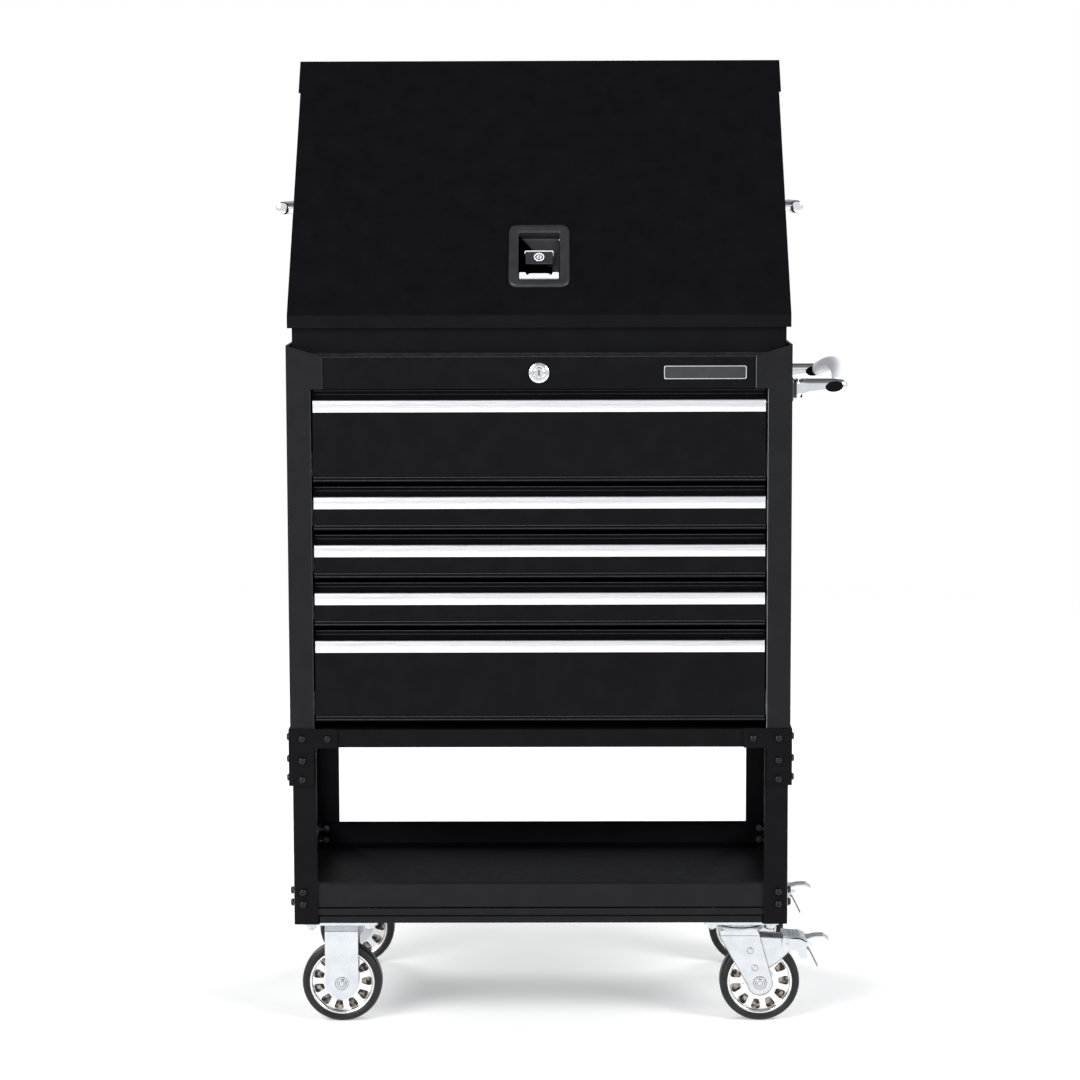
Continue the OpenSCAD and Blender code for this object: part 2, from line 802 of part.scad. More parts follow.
module latch_housing() {
    back = -pocket_depth - pocket_wall;
    color(enamel) placed() at_latch() {
        difference() {
            union() {
                rounded_plate(bezel_w, bezel_h, bezel_r, [0, 2.6]);
                rounded_plate(bezel_w - 8, bezel_h - 8, bezel_r - 4, [2.6, 4]);
                block([-pocket_w / 2 - pocket_wall, pocket_w / 2 + pocket_wall],
                      [-pocket_h / 2 - pocket_wall, pocket_h / 2 + pocket_wall], [back, 0]);
            }
            block([-pocket_w / 2, pocket_w / 2], [-pocket_h / 2, pocket_h / 2], [-pocket_depth, 5]);
            rod_x(2.05, [-pocket_w, pocket_w], paddle_axis[0], paddle_axis[1]);
        }
        for (s = [-36, 6]) difference() {
            block([-20, 20], [s, s + 7], [back - 5, back]);
            block([-16.4, 16.4], [s - 1, s + 8], [back - 3.7, back + 1]);
        }
    }
}

module latch_paddle() {
    half = pocket_w / 2 - 1;
    low = -pocket_h / 2 + 1.5;
    gap = [low + 13, low + 30];
    block_top = gap[1] + 24;
    color(enamel) placed() at_latch() {
        block([-half, half], [block_top, paddle_axis[0] + 2], [-10, -7.5]);
        block([-half, -21], [low + 12, block_top], [-10, -7.5]);
        block([21, half], [low + 12, block_top], [-10, -7.5]);
        rod_x(2.6, [-half, half], paddle_axis[0], paddle_axis[1]);
        rod_x(2, [-half - 1 - pocket_wall, half + 1 + pocket_wall], paddle_axis[0], paddle_axis[1]);
        difference() {
            block([-20.5, 20.5], [gap[1], block_top], [-10, 1]);
            translate([0, (gap[1] + block_top) / 2, -11]) cylinder(r = 7.05, h = 13);
        }
        block([-23, 23], [block_top - 2, block_top + 1], [-8, 1]);
    }
    color(chromed) placed() at_latch() {
        block([-half, half], [low, low + 13], [-1, 1]);
        block([-half, half], [low + 11, low + 13], [-10, -1]);
    }
}

module latch_plug() {
    color(chromed) placed() at_latch() translate([0, plug_s, 0]) difference() {
        union() {
            translate([0, 0, -12]) cylinder(r = 7, h = 14);
            translate([0, 0, 1.2]) cylinder(r = 8, h = 1.2);
            block([-2.5, 2.5], [0, 14], [-14, -12]);
        }
        block([-0.9, 0.9], [-4, 4], [-3, 3]);
    }
}

module latch_bolt() {
    tip = 16 - latch_s;
    z = [-pocket_depth - pocket_wall - 3.3, -pocket_depth - pocket_wall - 0.3];
    color(zinc) placed() at_latch() {
        block([-16, 16], [tip, pocket_h / 2 - 20], z);
        for (x = [-12, 12]) block([x - 2, x + 2], [pocket_h / 2 - 26, pocket_h / 2 - 20], [z[0] - 6, z[0]]);
    }
}

// ---- Casters ----

module fork_axle() {
    color(zinc) {
        rod_y(axle_r, [-27, 27], 0, axle_z);
        both_ends() translate([0, cheek_y[1], axle_z]) rotate([-90, 0, 0]) cylinder(r = 9.5, h = 6, $fn = 6);
    }
}

module rigid_fork() {
    foot_r = 25.7;
    color(zinc) {
        block(plate_x, plate_y, [plate_under, frame_z]);
        block([-foot_r, foot_r], [-cheek_y[1], cheek_y[1]], [plate_under - 4, plate_under]);
        both_ends() {
            block([-foot_r, foot_r], cheek_y, [axle_z, plate_under - 4]);
            rod_y(foot_r, cheek_y, 0, axle_z);
        }
    }
    fork_axle();
}

module rigid_forks() {
    placed() difference() {
        both_ends() translate([-caster_x, caster_y, 0]) rigid_fork();
        plate_bolt_holes();
    }
}

module swivel_plates() {
    color(zinc) placed() difference() {
        both_ends() translate([caster_x, caster_y, 0]) {
            block(plate_x, plate_y, [plate_under, frame_z]);
            translate([0, 0, plate_under - 8]) cylinder(r = 35, h = 8);
            translate([0, 0, plate_under - 20]) cylinder(r = kingpin_r - 0.05, h = 12.5);
            translate([0, 0, plate_under - 22]) cylinder(r = 13, h = 7, $fn = 6);
        }
        plate_bolt_holes();
    }
}

// One cheek of a swivel fork: it leans back from the crown to the axle, and its wing
// carries the brake
module fork_cheek(y) {
    along_y(y) polygon([
        [-33, 145], [26, 145], [30, 134], [pedal_x + 2, 131], [pedal_x + 9, 126], [pedal_x + 7, 113],
        [trail + 21, axle_z + 8], [trail - 21, axle_z - 6],
    ]);
    rod_y(22.5, y, trail, axle_z);
}

module swivel_fork(side) {
    color(zinc) placed() translate([caster_x, side * caster_y, 0]) {
        difference() {
            union() {
                translate([0, 0, plate_under - 14.4]) cylinder(r = 37, h = 6);
                block([-33, 33], [-cheek_y[1], cheek_y[1]], [plate_under - 15, plate_under - 12.4]);
            }
            translate([0, 0, plate_under - 16]) cylinder(r = kingpin_r, h = 9);
            translate([0, 0, plate_under - 17]) cylinder(r = 14, h = 2.3);
        }
        both_ends() fork_cheek(cheek_y);
        rod_y(pedal_pin_r, [-28.5, 28.5], pedal_x, pedal_z);
        translate([trail, 0, 0]) fork_axle();
    }
}

// The brake pedal: a wide tread with a narrow curled tip, on two hooked cheeks, with a
// shoe between them and a short release lever under it
module brake_pedal(side) {
    heel = pedal_x - 7;
    step = pedal_x + 27;
    color(zinc) placed() translate([caster_x, side * caster_y, 0]) {
        along_y([-25, 25]) polygon([
            [heel, 134.2], [step - 4.5, 133.2], [step - 1, 127], [step + 2, 126.4],
            [step + 2, 128.8], [step, 131], [step - 4, 135.5], [heel, 136.5],
        ]);
        along_y([-13, 13]) polygon([
            [step, 126.6], [step + 16, 122.7], [step + 31, 123.2], [pedal_tip, 126],
            [pedal_tip, 128.5], [step + 31, 125.5], [step + 16, 125], [step, 129],
        ]);
        difference() {
            both_ends() along_y([25, 27.5]) polygon([
                [heel, 136.5], [heel - 1, 124], [heel + 1, 115], [pedal_x + 2, 112.5],
                [pedal_x + 12, 115], [step - 10.5, 111], [step - 6, 100.5], [step + 0.5, 100.5],
                [step + 4, 104], [step + 2, 121], [step + 12, 123.5], [step + 12, 126],
                [step, 131], [step - 4, 135.5],
            ]);
            rod_y(pedal_pin_r + 0.05, [-30, 30], pedal_x, pedal_z);
        }
        along_y([-9, 9]) polygon([
            [step - 4, 118], [step + 2, 118], [step + 7, 106], [step + 22, 84], [step + 20, 83],
            [step + 4.5, 105],
        ]);
        block([step - 7, step + 1], [-25, 25], [116, 121]);
    }
}

module rim() {
    window_in = 31;
    window_out = 44.5;
    web_t = 2;
    step = 360 / rim_windows;
    color(chromed) difference() {
        rotate([-90, 0, 0]) rotate_extrude() polygon([
            [axle_r + 0.05, -17.5], [14, -17.5], [17, -12], [24, -6], [46, -7], [46, -15], [rim_r, -15],
            [rim_r, 15], [46, 15], [46, 7], [24, 6], [17, 12], [14, 17.5], [axle_r + 0.05, 17.5],
        ]);
        both_ends() for (k = [0 : rim_windows - 1])
            rotate([0, k * step, 0]) along_y([web_t / 2, 10]) polygon([
                [window_in, -2.6], [window_in + 4, -4.6], [window_out - 4, -8], [window_out, -6.6],
                [window_out, 6.6], [window_out - 4, 8], [window_in + 4, 4.6], [window_in, 2.6],
            ]);
    }
}

module tyre() {
    half = wheel_w / 2;
    r = wheel_d / 2;
    color(rubber) rotate([-90, 0, 0]) rotate_extrude($fn = 96) polygon([
        [rim_r, -half], [r - 6, -half], [r - 2.5, 2 - half], [r - 0.6, 6 - half], [r, 10 - half],
        [r, half - 10], [r - 0.6, half - 6], [r - 2.5, half - 2], [r - 6, half], [rim_r, half],
    ]);
}

module left_wheel(side) {
    placed() translate([-caster_x, side * caster_y, axle_z]) children();
}

module right_wheel(side) {
    placed() translate([caster_x + trail, side * caster_y, axle_z]) children();
}

cabinet_shell();
cabinet_floor();
top_tray();
corner_posts();
top_rail();
bottom_rail();
slide_rails();
frame_legs();
corner_brackets();
shelf_tray();
base_rails();
frame_bolts();
push_handle_bar();
push_handle_brackets();
nameplate();
lock_housing();
box_shell();
box_floor();
grab_handles();
hinge_leaf_box();
rigid_forks();
swivel_plates();
lid_panel();
hinge_leaf_lid();
lid_seal();
lid_stay_rails();
latch_housing();
latch_paddle();
latch_plug();
latch_bolt();
lid_stay_arms();
lock_plug();
lock_bar();
drawer_tray(0);  // drawer_1_tray
drawer_pull(0);  // drawer_1_pull
drawer_slides(0);  // drawer_1_slides
drawer_tray(1);  // drawer_2_tray
drawer_pull(1);  // drawer_2_pull
drawer_slides(1);  // drawer_2_slides
drawer_tray(2);  // drawer_3_tray
drawer_pull(2);  // drawer_3_pull
drawer_slides(2);  // drawer_3_slides
drawer_tray(3);  // drawer_4_tray
drawer_pull(3);  // drawer_4_pull
drawer_slides(3);  // drawer_4_slides
drawer_tray(4);  // drawer_5_tray
drawer_pull(4);  // drawer_5_pull
drawer_slides(4);  // drawer_5_slides
swivel_fork(-1);  // swivel_fork_front
swivel_fork(1);  // swivel_fork_rear
brake_pedal(-1);  // brake_pedal_front
brake_pedal(1);  // brake_pedal_rear
left_wheel(-1) rim();  // rim_left_front
left_wheel(-1) tyre();  // tyre_left_front
left_wheel(1) rim();  // rim_left_rear
left_wheel(1) tyre();  // tyre_left_rear
right_wheel(-1) rim();  // rim_right_front
right_wheel(-1) tyre();  // tyre_right_front
right_wheel(1) rim();  // rim_right_rear
right_wheel(1) tyre();  // tyre_right_rear
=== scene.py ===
"""Looks for the rolling tool chest: detailed pieces, finishes, studio and camera."""

import json
from math import asin, cos, degrees, pi, radians, sin

import bmesh
import bpy
from mathutils import Matrix, Vector
from mathutils.geometry import tessellate_polygon


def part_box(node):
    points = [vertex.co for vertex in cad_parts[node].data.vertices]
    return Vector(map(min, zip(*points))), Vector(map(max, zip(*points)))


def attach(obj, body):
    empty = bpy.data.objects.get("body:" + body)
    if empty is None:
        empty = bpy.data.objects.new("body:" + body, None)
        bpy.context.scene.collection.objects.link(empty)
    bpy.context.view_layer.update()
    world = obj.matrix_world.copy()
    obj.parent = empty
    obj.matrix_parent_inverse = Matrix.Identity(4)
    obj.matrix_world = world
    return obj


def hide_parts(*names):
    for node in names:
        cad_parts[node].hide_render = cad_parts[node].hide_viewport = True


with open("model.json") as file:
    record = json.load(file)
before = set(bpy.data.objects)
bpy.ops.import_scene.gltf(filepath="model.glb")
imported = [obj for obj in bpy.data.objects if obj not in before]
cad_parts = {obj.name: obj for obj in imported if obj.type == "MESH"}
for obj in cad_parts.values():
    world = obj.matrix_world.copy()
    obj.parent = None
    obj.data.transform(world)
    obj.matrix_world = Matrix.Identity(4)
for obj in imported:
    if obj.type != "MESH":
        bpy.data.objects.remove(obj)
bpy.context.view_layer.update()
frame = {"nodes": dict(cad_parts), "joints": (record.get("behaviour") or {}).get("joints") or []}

# Shapes are written in millimetres, and a mesh is scaled to metres when it is made
MM = 0.001


# ---- The frame ----


class Box:
    """A CAD node's box, in millimetres."""

    def __init__(self, node):
        low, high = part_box(node)
        self.x = (low.x / MM, high.x / MM)
        self.y = (low.y / MM, high.y / MM)
        self.z = (low.z / MM, high.z / MM)
        self.mid = (low + high) / (2 * MM)


def joint(name):
    return next(j for j in frame["joints"] if j["name"] == name)


def joint_place(name):
    return Vector(joint(name)["pos_m"]) / MM


# ---- Outlines, as lists of (x, y) ----


def arc(centre, radius, start, end, steps):
    """Points along an arc, with the angles in degrees."""
    angles = [radians(start + (end - start) * k / steps) for k in range(steps + 1)]
    return [(centre[0] + radius * cos(a), centre[1] + radius * sin(a)) for a in angles]


def circle(radius, steps=48, centre=(0, 0)):
    return arc(centre, radius, 0, 360, steps)[:-1]


def rounded(corners, radius, steps=5):
    """A closed outline with each corner rounded; radius is one number, or one for each corner."""
    radii = radius if isinstance(radius, (list, tuple)) else [radius] * len(corners)
    outline = []
    for k, corner in enumerate(corners):
        here = Vector(corner)
        back = Vector(corners[k - 1]) - here
        ahead = Vector(corners[(k + 1) % len(corners)]) - here
        half = back.angle(ahead) / 2
        reach = min(radii[k] / max(sin(half) / cos(half), 1e-6), 0.49 * back.length, 0.49 * ahead.length)
        if reach < 1e-4:
            outline.append(tuple(here))
            continue
        start = here + back.normalized() * reach
        end = here + ahead.normalized() * reach
        for n in range(steps + 1):
            t = n / steps
            blend = start.lerp(here, t).lerp(here.lerp(end, t), t)
            outline.append(tuple(blend))
    return outline


def rectangle(width, height, radius=0.0, steps=5, centre=(0, 0)):
    x, y = width / 2, height / 2
    corners = [(-x, -y), (x, -y), (x, y), (-x, y)]
    moved = [(a + centre[0], b + centre[1]) for a, b in corners]
    return rounded(moved, radius, steps) if radius else moved


def strip(line, thick, bend):
    """The section of a folded sheet: an open line of mid-sheet points, with round bends."""
    steps = 5
    path = [Vector(line[0])]
    for k in range(1, len(line) - 1):
        here = Vector(line[k])
        back = (Vector(line[k - 1]) - here).normalized()
        ahead = (Vector(line[k + 1]) - here).normalized()
        half = back.angle(ahead) / 2
        reach = bend / (sin(half) / cos(half))
        middle = here + (back + ahead).normalized() * (bend / sin(half))
        start = here + back * reach - middle
        end = here + ahead * reach - middle
        for n in range(steps + 1):
            path.append(middle + start.slerp(end, n / steps))
    path.append(Vector(line[-1]))
    left, right = [], []
    for k, here in enumerate(path):
        along = (path[min(k + 1, len(path) - 1)] - path[max(k - 1, 0)]).normalized()
        side = Vector((-along.y, along.x)) * thick / 2
        left.append(tuple(here + side))
        right.append(tuple(here - side))
    return right + left[::-1]


def mirrored(profile):
    """A profile of (radius, height) with its reflection in height 0, as one closed loop."""
    return profile + [(r, -z) for r, z in profile[-2:0:-1]]


# ---- Places, as matrices in millimetres ----


def at(x=0.0, y=0.0, z=0.0):
    return Matrix.Translation((x, y, z))


def turned(angle, axis):
    return Matrix.Rotation(radians(angle), 4, axis)


# A shape's local (x, y, z) laid along other axes of the chest
ALONG_X = Matrix(((0, 0, 1, 0), (1, 0, 0, 0), (0, 1, 0, 0), (0, 0, 0, 1)))
ALONG_Y = Matrix(((1, 0, 0, 0), (0, 0, -1, 0), (0, 1, 0, 0), (0, 0, 0, 1)))
MIRROR_X = Matrix.Scale(-1, 4, (1, 0, 0))
MIRROR_Y = Matrix.Scale(-1, 4, (0, 1, 0))


def beside(side, inner, outer):
    """The limits, for a prism laid along Y, of a plate on one side of the middle plane."""
    return sorted((-side * inner, -side * outer))


def outward(side):
    """Turns local Z to point away from the middle plane along Y."""
    return turned(-90 * side, "X")


class Shape:
    """The solids of one piece."""

    def __init__(self):
        self.points = []
        self.faces = []
        self.finishes = []

    def add(self, points, faces, place, finish):
        start = len(self.points)
        flip = place.determinant() < 0
        self.points += [place @ Vector(p) for p in points]
        for face in faces:
            moved = [start + i for i in face]
            self.faces.append(moved[::-1] if flip else moved)
            self.finishes.append(finish)

    def loft(self, rings, place=Matrix(), finish=0):
        """Joins loops of points that have the same count, and closes both ends."""
        count = len(rings[0])
        points = [p for ring in rings for p in ring]
        last = len(points) - count
        faces = []
        for a in range(0, last, count):
            b = a + count
            faces += [(a + i, a + (i + 1) % count, b + (i + 1) % count, b + i) for i in range(count)]
        faces.append(tuple(range(count))[::-1])
        faces.append(tuple(range(last, len(points))))
        self.add(points, faces, place, finish)

    def prism(self, outline, low, high, place=Matrix(), holes=(), finish=0):
        """An outline with holes, carried from low to high along local Z."""
        loops = [outline, *holes]
        flat = [p for loop in loops for p in loop]
        count = len(flat)
        caps = [tuple(range(count))]
        if holes:
            caps = tessellate_polygon([[Vector((x, y, 0)) for x, y in loop] for loop in loops])
        points = [(x, y, low) for x, y in flat] + [(x, y, high) for x, y in flat]
        faces = [tuple(cap)[::-1] for cap in caps]
        faces += [tuple(i + count for i in cap) for cap in caps]
        start = 0
        for loop in loops:
            size = len(loop)
            for i in range(size):
                a = start + i
                b = start + (i + 1) % size
                faces.append((a, b, b + count, a + count))
            start += size
        self.add(points, faces, place, finish)

    def block(self, x, y, z, finish=0):
        outline = [(x[0], y[0]), (x[1], y[0]), (x[1], y[1]), (x[0], y[1])]
        self.prism(outline, z[0], z[1], finish=finish)

    def lathe(self, profile, place=Matrix(), finish=0, steps=48, closed=False):
        """A profile of (radius, height) turned round local Z; a closed one is a ring."""
        points, rows = [], []
        for radius, height in profile:
            if radius < 1e-6:
                rows.append([len(points)] * steps)
                points.append((0, 0, height))
                continue
            rows.append(list(range(len(points), len(points) + steps)))
            points += [(x, y, height) for x, y in circle(radius, steps)]
        faces = []
        for k in range(len(rows) if closed else len(rows) - 1):
            low, high = rows[k], rows[(k + 1) % len(rows)]
            for i in range(steps):
                j = (i + 1) % steps
                face = dict.fromkeys((low[i], low[j], high[j], high[i]))
                if len(face) > 2:
                    faces.append(tuple(face))
        if not closed:
            for row in (rows[0], rows[-1]):
                if row[0] != row[1]:
                    faces.append(tuple(row))
        self.add(points, faces, place, finish)

    def beads(self, places, wide, finish):
        """Fine rolled beads along X, each at a (y, z) with its half height."""
        for y, z, half in places:
            outline = [(y + half * 0.6 * px, z + half * pz) for px, pz in circle(1, 12)]
            self.prism(outline, *wide, ALONG_X, finish=finish)

    def tube(self, path, radius):
        """A round bar along a path in one plane."""
        rings = []
        line = [Vector(p) for p in path]
        normal = (line[1] - line[0]).cross(line[-1] - line[0]).normalized()
        for k, here in enumerate(line):
            along = (line[min(k + 1, len(line) - 1)] - line[max(k - 1, 0)]).normalized()
            side = along.cross(normal)
            rings.append([here + (side * x + normal * y) for x, y in circle(radius, 32)])
        self.loft(rings)

    def piece(self, name, body, materials, replaces=(), bevel=0.4, segments=2, angle=32):
        """Makes the mesh object, softens its edges and lets it ride on its body."""
        bm = bmesh.new()
        verts = [bm.verts.new(p * MM) for p in self.points]
        for face, finish in zip(self.faces, self.finishes):
            bm.faces.new([verts[i] for i in face]).material_index = finish
        bmesh.ops.recalc_face_normals(bm, faces=bm.faces)
        for face in bm.faces:
            face.smooth = True
        mesh = bpy.data.meshes.new(name)
        bm.to_mesh(mesh)
        bm.free()
        mesh.set_sharp_from_angle(angle=radians(angle))
        for material in materials:
            mesh.materials.append(material)
        obj = bpy.data.objects.new(name, mesh)
        bpy.context.scene.collection.objects.link(obj)
        soften(obj, bevel, segments, angle)
        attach(obj, body)
        if replaces:
            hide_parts(*([replaces] if isinstance(replaces, str) else replaces))
        return obj


def soften(obj, width, segments, angle):
    if width <= 0:
        return
    bevel = obj.modifiers.new("Edges", "BEVEL")
    bevel.width = width * MM
    bevel.segments = segments
    bevel.limit_method = "ANGLE"
    bevel.angle_limit = radians(angle)
    bevel.harden_normals = True
    bevel.miter_outer = "MITER_ARC"


def keep(node, material, bevel, sheet=True):
    """Gives a CAD node its finish and soft edges; a sheet's flat faces are first made whole."""
    obj = frame["nodes"][node]
    mesh = obj.data
    if mesh.has_custom_normals:
        mesh.attributes.remove(mesh.attributes["custom_normal"])
    mesh.materials.clear()
    mesh.materials.append(material)
    mesh.polygons.foreach_set("use_smooth", [True] * len(mesh.polygons))
    weld = obj.modifiers.new("Weld", "WELD")
    weld.merge_threshold = 0.01 * MM
    if sheet:
        flat = obj.modifiers.new("Flat", "DECIMATE")
        flat.decimate_type = "DISSOLVE"
        flat.angle_limit = radians(0.6)
    soften(obj, bevel, 2, 30)
    return obj


# ---- Finishes ----


def fill(tree, node, inputs):
    """Gives each input of a node its plain value, or links it to another node's output."""
    for name, value in inputs.items():
        if isinstance(value, bpy.types.NodeSocket):
            tree.links.new(value, node.inputs[name])
        else:
            node.inputs[name].default_value = value


def added(tree, kind, inputs):
    node = tree.nodes.new("ShaderNode" + kind)
    fill(tree, node, inputs)
    return node


def noise(tree, vector, scale, detail=3.0):
    inputs = {"Scale": scale, "Detail": detail, "Roughness": 0.55, "Vector": vector}
    return added(tree, "TexNoise", inputs).outputs["Fac"]


def ramp(tree, factor, tones, span):
    """Turns a factor into a colour between two tones, over a span of the factor."""
    node = added(tree, "ValToRGB", {"Fac": factor})
    for element, position, tone in zip(node.color_ramp.elements, span, tones):
        element.position = position
        element.color = (*tone, 1)
    return node.outputs["Color"]


def remap(tree, value, span, levels, smooth=False):
    """Passes from one level to another as a value crosses a span."""
    node = added(tree, "MapRange", {
        "From Min": span[0], "From Max": span[1], "To Min": levels[0], "To Max": levels[1], "Value": value,
    })
    if smooth:
        node.interpolation_type = "SMOOTHSTEP"
    return node.outputs["Result"]


def relief(tree, height, strength, distance, below=None):
    node = added(tree, "Bump", {"Strength": strength, "Distance": distance * MM, "Height": height})
    if below is not None:
        tree.links.new(below, node.inputs["Normal"])
    return node.outputs["Normal"]


def surface(name, tones, rough, metallic=0.0, patch=22.0, grain=900.0, depth=0.02, wave=0.0,
            stretch=(1, 1, 1), specular=0.5, glow=0.0, span=(0.35, 0.65)):
    """A procedural finish: two tones in soft patches, a roughness that wanders, and a fine relief.
    patch and grain are noise scales per metre, wave is a second, broader relief, glow is how
    strongly the finish shines in its own colour, which is painted light, and span sets how sharply the tones
    part."""
    material = bpy.data.materials.new(name)
    material.use_nodes = True
    tree = material.node_tree
    place = tree.nodes.new("ShaderNodeTexCoord").outputs["Object"]
    along = added(tree, "Mapping", {"Scale": stretch, "Vector": place}).outputs["Vector"]
    colour = ramp(tree, noise(tree, along, patch, 4.0), tones, span)
    normal = None
    if wave:
        normal = relief(tree, noise(tree, place, 110.0, 1.0), wave, 0.15)
    fill(tree, tree.nodes["Principled BSDF"], {
        "Base Color": colour,
        "Metallic": metallic,
        "Roughness": remap(tree, noise(tree, along, patch * 2.7, 5.0), (0.3, 0.7), rough),
        "Specular IOR Level": specular,
        "Emission Color": colour,
        "Emission Strength": glow,
        "Normal": relief(tree, noise(tree, along, grain, 2.0), 0.6, depth, normal),
    })
    return material


PAINT = {"patch": 30.0, "grain": 1100.0, "depth": 0.045}
ENAMEL = surface("powder_coat", ((0.0034, 0.0034, 0.0046), (0.0046, 0.0046, 0.0060)), (0.36, 0.46),
                 wave=0.10, specular=0.06, **PAINT)
FRAME_ENAMEL = surface("frame_powder_coat", ((0.0076, 0.0076, 0.0096), (0.0094, 0.0094, 0.0114)),
                       (0.36, 0.46), wave=0.10, specular=0.12, **PAINT)
# A darker coat for recesses, gaps, seam lines, the shelf floor and dark patches: painted shade.
PAINTED_SHADE_COAT = surface("painted_shade_powder_coat", ((0.0026, 0.0026, 0.0034), (0.0036, 0.0036, 0.0046)),
                 (0.42, 0.52), specular=0.04, **PAINT)
# A lighter coat for fine beads and edges: painted highlight lines.
HIGHLIGHT_COAT = surface("painted_highlight_coat", ((0.016, 0.016, 0.020), (0.034, 0.034, 0.040)), (0.30, 0.42),
               patch=260.0, grain=1100.0, depth=0.06, specular=0.3)
FITTING = surface("satin_black", ((0.020, 0.020, 0.024), (0.027, 0.027, 0.032)), (0.30, 0.38),
                  patch=40.0, grain=1600.0, depth=0.012, specular=0.45)
BOLT = surface("black_oxide", ((0.003, 0.003, 0.003), (0.005, 0.005, 0.005)), (0.12, 0.20),
               patch=120.0, grain=1500.0, depth=0.01, specular=0.35)
ZINC = surface("bright_zinc", ((0.62, 0.65, 0.68), (0.70, 0.725, 0.75)), (0.26, 0.34),
               metallic=1.0, patch=45.0, grain=420.0, depth=0.004, wave=0.03)
# Darker zinc: painted shade for the fine rings and pressed borders of the casters, a painted highlight on
# the right-hand front seams, and the finish of the slide rails, inner nuts, pedal lever and latch bar.
DARK_ZINC = surface("dark_zinc", ((0.20, 0.21, 0.22), (0.30, 0.31, 0.32)), (0.30, 0.38),
                      metallic=1.0, patch=45.0, grain=420.0, depth=0.004)
PLATED = surface("plated_lip", ((0.76, 0.77, 0.79), (0.86, 0.87, 0.88)), (0.16, 0.26),
                 metallic=0.15, patch=120.0, grain=900.0, depth=0.01)
CHROME = surface("polished_chrome", ((0.84, 0.85, 0.87), (0.93, 0.93, 0.94)), (0.05, 0.11),
                 metallic=1.0, patch=35.0, grain=240.0, depth=0.004)
# A pale grip finish that glows faintly in its own colour: painted light that evens out the grip's shading.
SATIN_GLOW = surface("satin_grip_painted_glow", ((0.70, 0.71, 0.75), (0.76, 0.77, 0.81)), (0.42, 0.50),
                metallic=0.05, patch=60.0, grain=900.0, depth=0.012, glow=0.36)
ALLOY = surface("brushed_alloy", ((0.80, 0.81, 0.83), (0.92, 0.92, 0.93)), (0.24, 0.36),
                metallic=1.0, patch=420.0, grain=1400.0, depth=0.010, stretch=(0.02, 1, 1))
RIM = surface("cast_rim", ((0.84, 0.83, 0.82), (0.93, 0.92, 0.91)), (0.12, 0.20),
              metallic=1.0, patch=70.0, grain=420.0, depth=0.010)
# The cast web in the wheel windows: a dark brown finish, partly the cast metal's own colour and partly
# painted shade inside the windows.
POCKET_SHADE = surface("cast_pocket_painted_shade", ((0.006, 0.005, 0.004), (0.50, 0.43, 0.37)), (0.25, 0.40),
                 metallic=0.3, patch=105.0, grain=500.0, depth=0.05, span=(0.47, 0.62))
TYRE = surface("tyre_rubber", ((0.007, 0.007, 0.008), (0.013, 0.013, 0.014)), (0.34, 0.46),
               patch=60.0, grain=1300.0, depth=0.02, wave=0.05, specular=0.30)
MAT = surface("ribbed_mat", ((0.012, 0.012, 0.012), (0.022, 0.022, 0.023)), (0.7, 0.85),
              patch=90.0, grain=260.0, depth=0.25, stretch=(1, 0.02, 1))
SEAL = surface("foam_seal", ((0.008, 0.008, 0.008), (0.016, 0.016, 0.016)), (0.85, 0.95),
               patch=90.0, grain=1100.0, depth=0.12, specular=0.2)


# ---- The chest's own dimensions, from the frame ----

cabinet = Box("cabinet_shell")
posts = Box("corner_posts")
shelf = Box("shelf_tray")
mid_x = cabinet.mid.x
half_w = (cabinet.x[1] - cabinet.x[0]) / 2
front = posts.y[0]
back = cabinet.y[1]
SHEET = 1.2
ANGLE = 2.5


# ---- Drawers ----


